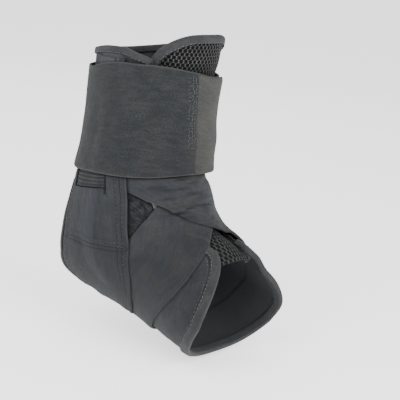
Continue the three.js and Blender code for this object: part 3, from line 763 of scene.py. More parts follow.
def make_tongue():
    us = np.concatenate(
        [np.linspace(0, 0.48, 100), np.linspace(0.49, 0.76, 26), np.linspace(0.765, 1, 96)]
    )
    vs = np.linspace(0, 1, COLUMNS)

    def high(level, angle):
        deep = NET_DEPTH * smooth(angle, -42, -26) * net_hole(level, angle)
        return tongue_high(level, angle) + waves("tongue", level, angle) - deep

    over = partial(edge_shadow, LOWER_LINES[:1] + UPPER_LINES[:1])
    extras = {"hole": net_hole, "shadow": over}
    net = partial(between, partial(tongue_side, 1), partial(tongue_side, -1))
    return sheet_object("mesh_tongue", us, vs, net, flare, high, extras=extras)


def tongue_edge():
    shares = np.concatenate([np.linspace(1, 0.5, 90), np.linspace(0.495, 0, 110)])
    top = np.linspace(-1, 1, 12)[1:-1]
    level, angle = tongue_side(1, shares)
    level = np.concatenate([level, np.full(len(top), level[-1]), level[::-1]])
    angle = np.concatenate([-angle, top * angle[-1], angle[::-1]])
    return level, angle


# The quarters.
VAMP_FOLDS = [
    [8.35, 33, 8.75, 52, 1.0, 0.35], [8.6, 33, 9.0, 50, 1.0, 0.4], [8.9, 38, 9.2, 56, 1.1, 0.4],
    [9.15, 46, 9.35, 64, 1.2, 0.35], [9.2, 66, 9.6, 92, 2.4, 0.4], [9.0, 84, 9.7, 100, 2.6, 0.35],
]


def edge_rows(rows, which, *sides):
    """An edge as rows of a level and an angle, on each of some sides."""
    levels, angles = rows[f"{which}_level"], rows[f"{which}_angle"]
    return [np.stack([levels, side * angles], 1) for side in sides]


PANEL_LINES = edge_rows(PANEL_EDGES, "front", 1, -1)
LOWER_LINES = edge_rows(UNDER_EDGES, "front", 1) + edge_rows(UNDER_EDGES, "rear", 1)
UPPER_LINES = edge_rows(OVER_EDGES, "front", -1) + edge_rows(OVER_EDGES, "rear", -1)
# Widths and shares of painted shadow beside edges, of painted shade towards the sole and of
# painted shade in the dips of strap wrinkles.
SHADOW_WIDTH = 1.3
SOLE_PAINTED_SHADE = 0.34
DIP_PAINTED_SHADE = 0.32
LEVEL_LENGTH = 20


def edge_shadow(lines_over, level, angle):
    """A share of painted shadow, 1 in the corners beside the edges of what lies on a piece and
    along the cuff's bottom edge, and at least a share of painted shade that grows towards the
    sole.
    """
    below_cuff = (level - on_cuff(angle, 1)) * LEVEL_LENGTH
    away = np.where(below_cuff > -1, np.abs(below_cuff), 9)
    for rows in lines_over:
        away = np.minimum(away, polyline_distance(level, angle, rows))
    return np.maximum(bell(away, SHADOW_WIDTH), SOLE_PAINTED_SHADE * smooth(level, 4.8, 8))


def top_patch(from_angle, to_angle, level, angle):
    """1 on a patch of the upper side, from one angle to another, and 0 elsewhere."""
    a = np.abs(angle)
    round_leg = smooth(a, from_angle, from_angle + 2) * fade(a, to_angle - 2, to_angle)
    return round_leg * fade(level, 1.5, 1.6)


TOP_PATCHES = {"pad": partial(top_patch, 84, 114), "strip": partial(top_patch, 116, 129)}


def shaded_knit_share(level, angle):
    """1 where the knitted cloth shows between the straps and the panel, painted darker there as
    the shade of that recessed gap, and 0 elsewhere.
    """
    a = np.abs(angle)
    return smooth(level, 3.8, 4.2) * fade(level, 6.6, 7) * fade(a, 70, 76)


SIDES = {1: "near", -1: "far"}


def quarter_object(side):
    def places(us, vs):
        level, angle = on_quarter(us[:, None], vs)
        return level, angle * side

    def high(level, angle):
        raised = quarter_high(level, angle) + waves("quarter", level, angle)
        return raised + folds(VAMP_FOLDS, level, np.abs(angle))

    us, vs = np.linspace(0, 1, 190), lines(95, 1.3)
    over = partial(edge_shadow, PANEL_LINES + LOWER_LINES + UPPER_LINES)
    extras = {"shaded_knit": shaded_knit_share, "shadow": over, **TOP_PATCHES}
    name = f"boot_quarter_{SIDES[side]}"
    return sheet_object(name, us, vs, places, quarter_low, high, extras=extras)


def both_sides(level, angle, last=None):
    """A line on the near half and its mirror image, one after the other."""
    back = slice(-2, last, -1)
    return np.concatenate([level, level[back]]), np.concatenate([angle, 360 - angle[back]])


def top_edge():
    level, angle = on_quarter(np.zeros(150), np.linspace(0.012, 1, 150))
    angle[-1] = 180
    return both_sides(level, angle)


def heel_edge():
    shares = np.linspace(BACK_SEAM_ROW / QUARTER_ROWS, SOLE_SEAM_ROW / QUARTER_ROWS, 130)
    return both_sides(*quarter_rear(shares), last=0)


def toe_edge():
    shares = np.linspace(0.6, 1, 400)
    level, angle = quarter_front(shares)
    shown = level > TOE_BINDING_START
    sole_level, sole_angle = on_quarter(np.ones(90), np.linspace(0, 1, 90))
    sole_angle[-1] = 180
    level = np.concatenate([level[shown], sole_level[1:]])
    angle = np.concatenate([angle[shown], sole_angle[1:]])
    level, angle = both_sides(level, angle)
    return level[::-1], angle[::-1]


# The side panels.
PANEL_WINDOW = {"start": 0.24, "end": 0.375, "front": 0.24, "rear": 0.86}
front_edge, rear_edge = edge_of(PANEL_EDGES, "front"), edge_of(PANEL_EDGES, "rear")
PANEL_SLIT = [[3.75, 82.5], [4.42, 79.5]]
POCKET_SEAM = [[74.5, 6.5], [80, 6.27], [90, 5.92], [103.5, 5.58], [114, 5.42]]
pocket_level = curve(*np.array(POCKET_SEAM).T)
STAY_LINE = [[4.4, 92], [5.6, 93]]
FRONT_BORDER = 3.2
FRONT_SEAM = 6.6
REAR_SEAMS = (3.2, 6)
POCKET_GAP = 2.4
GROOVE = 0.9
PANEL_SINK = 0.35
STAY_BULGE = 0.75
STAY_HALF_WIDTH = 7


def in_panel_window(u, v):
    w = PANEL_WINDOW
    return (u > w["start"]) & (u < w["end"]) & (v > w["front"]) & (v < w["rear"])


def pocket_line(count):
    angle = np.linspace(POCKET_SEAM[0][0], POCKET_SEAM[-1][0], count)
    return pocket_level(angle), angle


def panel_seams():
    """Lines of seams on the near panel, each as levels and angles."""
    seams = [moved_in(*front_edge(np.linspace(0.02, 0.98, 120)), -FRONT_BORDER)]
    seams.append(moved_in(*front_edge(np.linspace(0.3, 0.68, 120)), -FRONT_SEAM))
    rear = rear_edge(np.linspace(0.98, 0.4, 120))
    seams += [moved_in(*rear, -distance) for distance in REAR_SEAMS]
    return [*seams, pocket_line(60), moved_in(*pocket_line(60), -POCKET_GAP)]


def panel_marks(level, angle):
    """Distances from the front edge, from the rear edge and to the pocket's lower seam."""
    angle, shares = np.abs(angle), np.linspace(0, 1, 40)
    rows = [np.stack(line, 1) for line in (front_edge(shares), rear_edge(shares), pocket_line(12))]
    marks = np.stack([polyline_distance(level, angle, line) for line in rows], -1)
    marks[..., 2] *= np.sign(level - pocket_level(angle))
    return marks


def stay_share(level, angle):
    """1 on the smooth rectangle over the stay, and 0 elsewhere."""
    return fade(polyline_distance(level, np.abs(angle), STAY_LINE), 5.2, 6.4)


# The near-black colour in the slit is painted shade.
def slit_shade_share(level, angle):
    return bell(polyline_distance(level, np.abs(angle), PANEL_SLIT), 0.8)


def panel_surface(level, angle):
    """Height of the near panel's face over its plain thickness."""
    front, rear, pocket = np.moveaxis(panel_marks(level, angle), -1, 0)
    grooves = bell(front - FRONT_BORDER, GROOVE)
    grooves = grooves + 0.8 * bell(front - FRONT_SEAM, GROOVE) * (level < 6.6)
    grooves = grooves + sum(bell(rear - d, GROOVE) for d in REAR_SEAMS) * 0.6 * (level > 4.3)
    grooves = grooves + 0.7 * (bell(pocket, GROOVE) + bell(pocket - POCKET_GAP, GROOVE))
    slit = polyline_distance(level, angle, PANEL_SLIT)
    stay = polyline_distance(level, angle, STAY_LINE)
    bulge = STAY_BULGE * np.exp(-((stay / STAY_HALF_WIDTH) ** 6))
    return waves("panel", level, angle) + bulge - 0.35 * grooves - 0.9 * bell(slit, 0.6)


def panel_high(level, angle):
    return panel_low(level, angle) + PANEL_THICKNESS + panel_surface(level, np.abs(angle))


def panel_places(side):
    edges = [edge_of(PANEL_EDGES, which, side) for which in ("front", "rear")]
    return partial(between, *edges)


def panel_object(side):
    w = PANEL_WINDOW
    us = lines(165, 0.8)
    outside = us[(us < w["start"]) | (us > w["end"])]
    us = np.sort(np.append(outside, np.linspace(w["start"], w["end"], 32)))
    brink = [w["front"], w["front"] + 0.004, w["rear"] - 0.004, w["rear"]]
    vs = np.sort(np.append(lines(36, 0.7), brink))
    extras = {"marks": panel_marks, "stay": stay_share, "slit": slit_shade_share}
    return sheet_object(
        f"stay_panel_{SIDES[side]}",
        us,
        vs,
        panel_places(side),
        lambda level, angle: panel_low(level, angle) - PANEL_SINK,
        panel_high,
        hug=0.3,
        keep=lambda u, v: ~in_panel_window(u, v),
        extras={**extras, "shadow": partial(edge_shadow, []), **TOP_PATCHES},
    )


def webbing_object(side):
    w = PANEL_WINDOW
    length_gap, width_gap = 0.002, 0.012
    start, end = w["start"] + length_gap, w["end"] - length_gap
    us = np.linspace(start, end, 100)
    vs = np.linspace(w["front"] + width_gap, w["rear"] - width_gap, 30)
    share = (us[:, None] - start) / (end - start)
    ribs = RIB_HEIGHT * (1 - np.cos(2 * math.pi * share * WINDOW_RIBS)) / 2
    extras = {"rib": lambda level, angle: np.broadcast_to(ribs / RIB_HEIGHT, level.shape)}

    def high(level, angle):
        return panel_low(level, angle) + WEBBING_THICKNESS * 0.5 + ribs

    name = f"rib_webbing_{SIDES[side]}"
    return sheet_object(name, us, vs, panel_places(side), panel_low, high, extras=extras)


# The straps.
UPPER_FOLDS = [
    [4.75, 42, 4.75, -6, 2.4, 0.77], [5.05, 34, 5.15, -12, 2.6, 1.1],
    [5.4, 24, 5.65, -14, 2.6, 0.99], [5.75, 20, 6.15, -8, 2.4, 0.88],
]
UPPER_CREASES = [
    [4.45, 52, 4.5, 22, 1.2, -0.6], [4.62, 34, 4.7, 6, 1.1, -0.8], [4.9, 38, 4.95, 0, 1, -0.95],
    [5.25, 26, 5.4, -6, 1, -0.95], [5.6, 27, 5.95, 0, 0.9, -1.2], [6.1, 21, 6.5, 2, 1.1, -0.8],
]
LOWER_FOLDS = [
    [5.6, 46, 6.7, 20, 3.2, 0.35], [6.1, 58, 7.3, 40, 4, 0.35], [6.9, 68, 8.2, 56, 4, 0.3],
    [7.6, 84, 8.8, 74, 4, 0.3],
]
STRAP_SAG = 1.8
STRAP_SINK = 0.45
WRINKLE_SIZE = 4.6
WRINKLE_RISE = 0.42
WRINKLE_STRETCH = (0.3, 0.3, 1.2)


def strap_low(over, level, angle):
    between_laces = smooth(lacing_angle(level) - np.abs(angle), 2, 14)
    lift = sole_room(angle) - STRAP_SAG * between_laces * smooth(level, 5, 6.4)
    if over:
        climb = fade(np.abs(angle), 46, 62)
        lift = lift + climb * STRAP_STEP + folds(UPPER_FOLDS, level, angle)
    return quarter_high(level, angle) + STRAP_CLEARANCE + lift


def wrinkles(over, level, angle):
    """Small wrinkles across the front of a strap, between about -2 and 2."""
    if over:
        front = fade(np.abs(angle - 12), 16, 44)
    else:
        low_end = smooth(level, 5, 5.4) * fade(level, 6.1, 6.8)
        front = 0.5 * low_end * fade(angle, 34, 52)
    return front * ripple(on_form(level, angle) * WRINKLE_STRETCH, WRINKLE_SIZE, 27, 24)


def strap_high(over, level, angle):
    wave = waves("upper_strap" if over else "lower_strap", level, angle)
    wave = wave + WRINKLE_RISE * wrinkles(over, level, angle)
    if over:
        detail = folds(UPPER_CREASES, level, angle) * 0.7
    else:
        detail = folds(LOWER_FOLDS, level, angle)
    return strap_low(over, level, angle) + STRAP_THICKNESS + wave + detail


def strap_shadow(over, level, angle):
    # Painted shadow beside the edges that lie over the strap, and painted shade in the dips of its
    # wrinkles and, on the upper strap, its creases.
    lines_over = PANEL_LINES if over else PANEL_LINES + UPPER_LINES[:1]
    dips = wrinkles(over, level, angle)
    if over:
        dips = dips + folds(UPPER_CREASES, level, angle)
    shade = edge_shadow(lines_over, level, angle) - DIP_PAINTED_SHADE * np.minimum(dips, 0)
    return np.clip(shade, 0, 1)


def strap_object(over):
    rows = OVER_EDGES if over else UNDER_EDGES
    side = -1 if over else 1

    def near_seam(which, share):
        level, angle = edge_of(rows, which)(share)
        return level, side * np.minimum(angle, seam_angle(level))

    return sheet_object(
        "upper_strap" if over else "lower_strap",
        lines(300, 1),
        lines(56, 0.9),
        partial(between, partial(near_seam, "front"), partial(near_seam, "rear")),
        lambda level, angle: strap_low(over, level, angle) - STRAP_SINK,
        partial(strap_high, over),
        hug=0.4,
        extras={"shadow": partial(strap_shadow, over)},
    )


# The cuff and its tab.
CUFF_ANGLES = np.linspace(-180, 180, 181)
CUFF_TOPS = cuff_top(CUFF_ANGLES)
CUFF_BOTTOMS = level_below(CUFF_TOPS, CUFF_ANGLES, cuff_drop(CUFF_ANGLES) * CUFF_HEIGHT)
TAB_SIDE = curve([0, 0.25, 0.5, 1], [12.5, 8, 5.5, 4])
TAB_CORNER = 8
TAB_GAP = -2.4
TAB_SINK = 0.3
ZIGZAG = table("aside pitch slant", [[3.6, 2.3, 36], [6.4, 1.9, -30], [9.4, 3.1, 52]])


def on_cuff(angle, v):
    top = np.interp(folded(angle), CUFF_ANGLES, CUFF_TOPS)
    bottom = np.interp(folded(angle), CUFF_ANGLES, CUFF_BOTTOMS)
    return mix(top, bottom, v)


def tab_lift(angle):
    return CUFF_STEP * fade(angle, TAB_START, TAB_START + 18)


def band_places(us, vs):
    angle = mix(TAB_SIDE(vs), BAND_END, us[:, None])
    return on_cuff(angle, vs), angle


def band_low(level, angle):
    return cuff_low(level, angle) + tab_lift(angle)


def band_high(level, angle):
    return band_low(level, angle) + CUFF_THICKNESS + waves("cuff", level, angle)


def tab_places(us, vs):
    angle = mix(TAB_SIDE(vs) - TAB_GAP, TAB_END, us[:, None])
    from_end = np.maximum(0, 1 - (angle - TAB_END) / TAB_CORNER)
    inset = TAB_CORNER / 2 / CUFF_HEIGHT * (1 - np.sqrt(np.maximum(1 - from_end**2, 0)))
    return on_cuff(angle, mix(inset, 1 - inset, vs)), angle


def tab_low(level, angle):
    return cuff_low(level, angle) + CUFF_STEP - TAB_SINK


def tab_high(level, angle):
    return tab_low(level, angle) + 2 * TAB_SINK + CUFF_THICKNESS + waves("tab", level, angle)


def tab_object():
    bend = 1 - 0.15 * np.cos(np.linspace(0.1, math.pi / 2, 20))
    us = np.concatenate([np.linspace(0, 0.02, 4), np.linspace(0.04, 0.84, 40), bend])
    return sheet_object("fastener_tab", us, lines(72, 1), tab_places, tab_low, tab_high, hug=0.25)


# The lace and its loops.
LACE_TURNS = table("level side", [[2, 1], [2.8, -1], [3.6, 1], [4.3, -1], [5, 1], [6, -1], [7, 1]])
LACE_LOW = TONGUE_THICKNESS + CLEARANCE + 0.15
LOOP_LOW = LACE_LOW + LACE_THICKNESS + CLEARANCE - 0.1
TURN_RUN = 0.09
LACE_LINES = np.array([-1, -0.96, -0.86, -0.4, 0, 0.4, 0.86, 0.96, 1])


def lace_faces(height):
    """The lower and the upper face of a lace at a height."""

    def face(height):
        return lambda level, angle: np.full(level.shape, height)

    return face(height), face(height + LACE_THICKNESS)


def lace_reach(level):
    return np.minimum(lacing_angle(level) - 2, tongue_half(level) - 12)


def lace_object():
    levels, angles = [], []
    for turn, side in zip(LACE_TURNS["level"], LACE_TURNS["side"]):
        for run in (-TURN_RUN, TURN_RUN):
            levels.append(turn + run)
            angles.append(side * lace_reach(turn + run))
    shares = np.linspace(0, 1, len(levels))
    fine = np.linspace(0, 1, 14 * (len(levels) - 1) + 1)
    level, angle = np.interp(fine, shares, levels), np.interp(fine, shares, angles)
    vs = LACE_LINES * LACE_WIDTH / 2
    net = lambda us, vs: beside(level, angle, vs)
    return sheet_object("flat_lace", fine, vs, net, *lace_faces(LACE_LOW))


def loop_object(number):
    level, side = LACE_TURNS["level"][number], LACE_TURNS["side"][number]
    per_level, per_degree = tangents(level, side * lacing_angle(level))
    half_run = LOOP_LENGTH / 2 / np.linalg.norm(per_level)
    degree = np.linalg.norm(per_degree)

    def edge(inward, share):
        here = level + mix(-half_run, half_run, share)
        return here, side * (lacing_angle(here) - inward / degree)

    name = f"{SIDES[side]}_{number + 1}"
    net = partial(between, partial(edge, CLEARANCE), partial(edge, LOOP_REACH))
    us, vs = lines(6, 0.5), lines(4.5, 0.5)
    made = sheet_object(f"eyelet_loop_{name}", us, vs, net, *lace_faces(LOOP_LOW))
    return made, f"lace_loop_{name}"


# Materials. The attribute cloth holds millimetres along and across a cloth, and its side.
TONE = 0.335


def linear(colour):
    """A colour of 0 to 255 as the shader takes it, in the tone that suits the light."""
    share = np.array(colour, float) / 255
    return (*(TONE * ((share + 0.055) / 1.055) ** 2.4), 1)


class Tree:
    """The nodes of a material."""

    def __init__(self, name):
        self.material = bpy.data.materials.new(name)
        self.material.use_nodes = True
        self.nodes = self.material.node_tree.nodes
        self.inputs = self.nodes["Principled BSDF"].inputs

    def put(self, socket, value):
        if isinstance(value, bpy.types.NodeSocket):
            self.material.node_tree.links.new(value, socket)
        else:
            socket.default_value = value

    def add(self, kind, inputs, output=0, **settings):
        node = self.nodes.new(kind)
        for key, value in settings.items():
            setattr(node, key, value)
        for key, value in inputs.items():
            self.put(node.inputs[key], value)
        return node.outputs[output]

    def attribute(self, name, output="Fac"):
        return self.add("ShaderNodeAttribute", {}, output, attribute_name=name)

    def part(self, vector, axis):
        return self.add("ShaderNodeSeparateXYZ", {0: vector}, axis)

    def math(self, operation, *values):
        return self.add("ShaderNodeMath", dict(enumerate(values)), operation=operation)

    def times(self, first, second):
        return self.math("MULTIPLY", first, second)

    def noise(self, vector, size, stretch=(1, 1, 1), detail=2, roughness=0.5):
        scale = tuple(s / size for s in stretch)
        vector = self.add("ShaderNodeVectorMath", {0: vector, 1: scale}, operation="MULTIPLY")
        values = {"Vector": vector, "Scale": 1, "Detail": detail, "Roughness": roughness}
        return self.add("ShaderNodeTexNoise", values)

    def ramp(self, value, start, end, low=0, high=1):
        values = {0: value, 1: start, 2: end, 3: low, 4: high}
        return self.add("ShaderNodeMapRange", values, interpolation_type="SMOOTHSTEP")

    def blend(self, factor, first, second, way="MIX"):
        values = {0: factor, 6: first, 7: second}
        return self.add("ShaderNodeMix", values, 2, data_type="RGBA", blend_type=way)

    def toned(self, shade, gain):
        """A shade made lighter or darker by a gain."""
        grey = self.add("ShaderNodeCombineXYZ", {0: gain, 1: gain, 2: gain})
        return self.blend(1, shade, grey, "MULTIPLY")

    def wave(self, value, pitch):
        return self.math("SINE", self.times(value, 2 * math.pi / pitch))

    def finish(self, shade, rough, height, relief):
        self.put(self.inputs["Base Color"], shade)
        self.put(self.inputs["Roughness"], rough)
        bump = {"Height": height, "Strength": 1, "Distance": relief * METRES}
        self.put(self.inputs["Normal"], self.add("ShaderNodeBump", bump))
        return self.material


LINING = (78, 80, 84)
SHADOW_SHADE = (14, 15, 16)
SHADOW_DEPTH = 0.75
# Tone of the painted shade along the panels' seam grooves.
SEAM_PAINTED_SHADE = (24, 26, 28)
PATCH_TONES = {"pad": (96, 100, 104), "strip": (48, 50, 54)}
SEAM_LINES = [("X", FRONT_BORDER + 0.5), ("X", FRONT_SEAM + 0.5)]
SEAM_LINES += [("Y", 3.7), ("Y", 6.5), ("Z", 0.5), ("Z", 2.9)]
PLAIN_LOOK = {
    "lining": LINING,
    "edge": None,
    "edge_width": 1.2,
    "fleck": 0.3,
    "fleck_size": 1.0,
    "streak": 0.12,
    "thread": 0.8,
    "relief": 0.28,
    "rough": 0.82,
    "ribs": None,
    "hole": None,
    "shaded_knit": None,
    "areas": {},
    "seams": (),
}
PATCH_SIZE = 16
THREAD_DIP = 0.62
SHEEN = {"Sheen Weight": 0.06, "Sheen Roughness": 0.5, "Specular IOR Level": 0.15}


def cloth_material(name, colour, other, **look):
    """A woven cloth: two shades in patches, flecks, streaks, threads and a soft sheen, with
    painted highlights on the lighter rims, painted shadow on the tape's dark rim, painted shade in
    seams, holes, the slit, the gap between straps and panel and rib valleys, and the painted
    shadow of the shadow attribute.
    """
    look = {**PLAIN_LOOK, **look}
    tree = Tree(name)
    cloth = tree.attribute("cloth", "Vector")
    patch = tree.ramp(tree.noise(cloth, PATCH_SIZE, detail=3), 0.35, 0.65)
    shade = tree.blend(patch, linear(colour), linear(other))
    fleck = tree.noise(cloth, look["fleck_size"], detail=3, roughness=0.7)
    streaks = tree.noise(cloth, 1.8, stretch=(0.3, 1, 1))
    warp, weft = (tree.wave(tree.part(cloth, axis), look["thread"]) for axis in "XY")
    weave = tree.times(warp, weft)
    gain = tree.ramp(fleck, 0.28, 0.72, 1 - look["fleck"], 1 + look["fleck"])
    gain = tree.times(gain, tree.ramp(streaks, 0.3, 0.7, 1 - look["streak"], 1 + look["streak"]))
    gain = tree.times(gain, tree.math("MULTIPLY_ADD", weave, 0.06, 1))
    # Painted shade in the valleys of the webbing's ribs, and a painted lighter tone on their
    # crests.
    if look["ribs"]:
        gain = tree.times(gain, tree.ramp(tree.attribute("rib"), 0, 0.8, 0.6, 1.1))
    shade = tree.toned(shade, gain)
    # Painted light and shade along the rims: the lighter rims of the panels, the straps and the
    # cuff are painted highlights, the tape's dark rim along its inner edge is painted shadow, and
    # the tab's rim is painted darker.
    if look["edge"]:
        width = look["edge_width"]
        painted_rim_tone = tree.ramp(tree.attribute("rim"), width * 0.4, width, 0.8, 0)
        shade = tree.blend(painted_rim_tone, shade, linear(look["edge"]))
    if look["lining"]:
        outer = tree.ramp(tree.part(cloth, "Z"), 0.4, 0.6)
        shade = tree.blend(outer, linear(look["lining"]), shade)
    for area, tone in look["areas"].items():
        shade = tree.blend(tree.attribute(area), shade, tree.toned(linear(tone), gain))
    # Painted shade: the knitted cloth in the recessed gap between the straps and the panel gets a
    # darker tone, with coarser loops.
    if look["shaded_knit"]:
        loops = tree.noise(cloth, 2.4, detail=4, roughness=0.7)
        shaded_knit = tree.toned(linear(look["shaded_knit"]), tree.ramp(loops, 0.38, 0.62, 0.25, 1.9))
        shade = tree.blend(tree.attribute("shaded_knit"), shade, shaded_knit)
    # Painted shade: the net's holes, walls included, are painted near black.
    if look["hole"]:
        inside = tree.ramp(tree.attribute("hole"), 0.05, 0.45)
        shade = tree.blend(inside, shade, linear(look["hole"]))
    # Painted shade along the seam grooves of the panels.
    for axis, at in look["seams"]:
        distance = tree.part(tree.attribute("marks", "Vector"), axis)
        away = tree.math("ABSOLUTE", tree.math("SUBTRACT", distance, at))
        shade = tree.blend(tree.ramp(away, 0.15, 0.6, 0.6, 0), shade, linear(SEAM_PAINTED_SHADE))
    corner = tree.times(tree.attribute("shadow"), SHADOW_DEPTH)
    shade = tree.blend(corner, shade, linear(SHADOW_SHADE))
    rough = tree.ramp(fleck, 0.3, 0.7, look["rough"] - 0.1, look["rough"] + 0.1)
    height = tree.math("MULTIPLY_ADD", weave, 0.35, tree.times(fleck, 0.9))
    height = tree.math("ADD", height, tree.times(streaks, 0.5))
    for key, value in SHEEN.items():
        tree.put(tree.inputs[key], value)
    return tree.finish(shade, rough, height, look["relief"])


def thread_material(name, colour):
    tree = Tree(name)
    spot = tree.add("ShaderNodeTexCoord", {}, "Object")
    fleck = tree.noise(spot, 0.9 * METRES, detail=2)
    darker = tuple(THREAD_DIP * c for c in colour)
    shade = tree.blend(tree.ramp(fleck, 0.35, 0.65), linear(colour), linear(darker))
    return tree.finish(shade, tree.ramp(fleck, 0.3, 0.7, 0.55, 0.8), fleck, 0.1)


NYLON = cloth_material(
    "soft_nylon",
    (63, 66, 70),
    (69, 72, 77),
    # The panels' lighter rims are a painted highlight.
    edge=(84, 86, 90),
    # The darker seam lines are painted shade in the grooves.
    seams=SEAM_LINES,
    # The slit's near-black tone is painted shade.
    areas={"stay": (68, 72, 81), "slit": (14, 15, 16), **PATCH_TONES},
)
# The darker tone for the gap between the straps and the panel is painted shade.
KNIT = {"fleck": 0.26, "fleck_size": 1.2, "shaded_knit": (50, 54, 57), "areas": PATCH_TONES}
VAMP = cloth_material("knit_nylon", (80, 82, 87), (70, 73, 78), **KNIT)
# The straps' lighter rims are a painted highlight.
HIGHLIT_RIMS = {"edge": (86, 88, 90), "edge_width": 0.9, "fleck": 0.26, "streak": 0.1}
STRAP = cloth_material("strap_nylon", (71, 75, 81), (80, 81, 83), **HIGHLIT_RIMS)
# The cuff's lighter rims are a painted highlight.
ELASTIC = {"edge": (92, 92, 92), "fleck": 0.45, "streak": 0.17}
CUFF = cloth_material("cuff_elastic", (58, 62, 65), (66, 68, 69), **ELASTIC)
PILE = {"lining": None, "edge": (74, 73, 71), "fleck": 0.3, "rough": 0.9}
TAB = cloth_material("tab_pile", (96, 97, 94), (88, 88, 87), **PILE)
# The tape's dark rim along its inner edge is painted shadow.
BRAID = {"lining": None, "edge": (46, 47, 50), "edge_width": 0.9, "fleck": 0.26, "relief": 0.3}
TAPE = cloth_material("binding_tape", (84, 85, 87), (74, 76, 79), **BRAID)
RIBBED = {"lining": None, "relief": 0.25, "ribs": True}
WEBBING = cloth_material("rib_weave", (62, 64, 67), (70, 72, 74), **RIBBED)
FLAT = {"lining": None, "thread": 1.1, "relief": 0.2}
LACE = cloth_material("lace_weave", (142, 145, 148), (120, 122, 124), **FLAT)
# The near-black tone of the net's holes is painted shade.
MESH = cloth_material("net_pad", (108, 109, 110), (96, 97, 98), hole=(2, 2, 2), fleck=0.2)
THREAD = thread_material("pale_thread", (144, 143, 139))
DARK_THREAD = thread_material("grey_thread", (86, 89, 93))
CUFF_THREAD = thread_material("cuff_thread", (118, 119, 118))


# Putting the pieces together.
def finished(piece, material, slot, *nodes):
    piece.data.materials.append(material)
    if nodes:
        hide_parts(*nodes)
    return piece


def pair(make, material, slot, node):
    """The near and the far piece of a kind."""
    return [finished(make(s), material, slot, f"{node}_{name}") for s, name in SIDES.items()]


tongue = finished(make_tongue(), MESH, "mesh", "tongue")
quarters = pair(quarter_object, VAMP, "nylon", "quarter")
panels = pair(panel_object, NYLON, "nylon", "side_panel")
webbings = pair(webbing_object, WEBBING, "webbing", "window_webbing")
lower_strap = finished(strap_object(0), STRAP, "strapping", "strap_under")
upper_strap = finished(strap_object(1), STRAP, "strapping", "strap_over")
cuff = sheet_object("cuff_wrap", lines(270, 1), lines(72, 0.9), band_places, band_low, band_high)
finished(cuff, CUFF, "elastic", "cuff_band")
tab = finished(tab_object(), TAB, "tab", "cuff_tab")
lace = finished(lace_object(), LACE, "lace", "lace")
loops = []
for number in range(len(LACE_TURNS["level"])):
    made, node = loop_object(number)
    loops.append(finished(made, LACE, "lace", node))
TAPE_EDGES = {
    "top_binding": (top_edge(), quarter_low, quarter_high, BINDING_WIDTH, False),
    "heel_binding": (heel_edge(), quarter_low, quarter_high, BINDING_WIDTH, True),
    "toe_binding": (toe_edge(), quarter_low, quarter_high, TOE_TAPE_WIDTH, False),
    "tongue_binding": (tongue_edge(), flare, tongue_high, TONGUE_BINDING_WIDTH, False),
}
tapes = {}
rows = []
for node, (edge, low, high, width, closed) in TAPE_EDGES.items():
    made = binding_object(node.replace("binding", "tape"), *edge, low, high, width, closed)
    tapes[node] = finished(made, TAPE, "tape", node)
    line = moved_in(*edge, width - STITCH_INSET, closed)
    rows.append(stitch_row(*line, high(*line) + BINDING_GAP + BINDING_THICKNESS + STITCH_LIFT))
line = moved_in(*toe_edge(), TOE_TAPE_WIDTH + TOE_SEAM)
rows.append(stitch_row(*line, quarter_high(*line) + 0.1))
tape_stitches = finished(stitch_object("tape_stitches", rows), THREAD, "tape")

rows = []
for level, angle in panel_seams():
    height = panel_high(level, angle) + 0.05
    rows += [stitch_row(level, side * angle, height) for side in SIDES]
panel_stitches = finished(stitch_object("panel_stitches", rows), DARK_THREAD, "nylon")

rows = []
share = np.linspace(0.03, 0.62, 160)
for aside, pitch, slant in zip(*ZIGZAG.values()):
    uneven = 0.5 * np.sin(share * 90 + aside)
    angle = TAB_SIDE(share) + aside + uneven + 0.4 * np.sin(share * 41 * aside)
    level = on_cuff(angle, share)
    rows.append(stitch_row(level, angle, band_high(level, angle) + 0.02, pitch, 2.1, 0.2, slant))
zigzag = finished(stitch_object("cuff_stitches", rows), CUFF_THREAD, "elastic")

edges = [tapes["top_binding"], tapes["heel_binding"], tapes["toe_binding"], tape_stitches, lace]
for quarter, extra in zip(quarters, ([*edges, *loops[::2]], loops[1::2])):
    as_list(extra)
for panel, webbing, quarter, extra in zip(panels, webbings, quarters, ([panel_stitches], [])):
    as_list(extra)


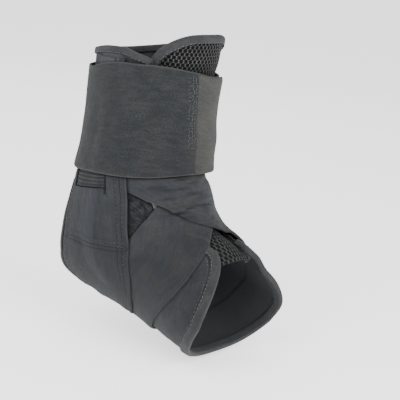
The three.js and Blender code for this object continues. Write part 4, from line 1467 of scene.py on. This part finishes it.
# The camera, the lights and the floor.
AZIMUTH, ELEVATION, ROLL = (math.radians(v) for v in (36, 12, 6))
DISTANCE = 900
LENS_LENGTH = 123.12
AIM = (38.4, 1.87)
level_back = np.array([math.sin(AZIMUTH), -math.cos(AZIMUTH), 0])
level_right = np.array([math.cos(AZIMUTH), math.sin(AZIMUTH), 0])
back = level_back * math.cos(ELEVATION) + np.array([0, 0, math.sin(ELEVATION)])
level_up = np.cross(back, level_right)
right = level_right * math.cos(ROLL) + level_up * math.sin(ROLL)
up = level_up * math.cos(ROLL) - level_right * math.sin(ROLL)
eye = (level_right * AIM[0] + level_up * AIM[1] + back * DISTANCE) * METRES
lens = bpy.data.cameras.new("view")
lens.lens = LENS_LENGTH
lens.sensor_width = 36
camera = linked("view", lens)
camera.matrix_world = Matrix([*np.stack([right, up, back, eye], 1), (0, 0, 0, 1)])
bpy.context.scene.camera = camera

LIGHTS = {
    "key": ((0.1, -0.95, 0.8), 0.8, 13),
    "fill": ((0.95, -0.25, 0.5), 0.7, 12),
    "rim": ((-0.7, 0.7, 0.8), 0.8, 3),
}
for name, (spot, size, power) in LIGHTS.items():
    light = bpy.data.lights.new(name, "AREA")
    light.size = size
    light.energy = power
    lamp = linked(name, light)
    lamp.location = spot
    lamp.rotation_euler = (-Vector(spot)).to_track_quat("-Z", "Y").to_euler()
WORLD_STRENGTH = 0.8
world = bpy.data.worlds.new("studio")
world.use_nodes = True
background = world.node_tree.nodes["Background"].inputs
background["Color"].default_value = (1, 1, 1, 1)
background["Strength"].default_value = WORLD_STRENGTH
bpy.context.scene.world = world

FLOOR_LEVEL = -90.5
FLOOR_SIZE = 60
FLOOR_GLOW = 1.3
bpy.ops.mesh.primitive_plane_add(size=FLOOR_SIZE, location=(0, 0, FLOOR_LEVEL * METRES))
floor = bpy.context.object
floor.name = "floor"
tree = Tree("pale_floor")
tree.put(tree.inputs["Base Color"], (0.92, 0.92, 0.92, 1))
tree.put(tree.inputs["Roughness"], 0.9)
tree.put(tree.inputs["Emission Color"], (1, 1, 1, 1))
tree.put(tree.inputs["Emission Strength"], FLOOR_GLOW)
floor.data.materials.append(tree.material)
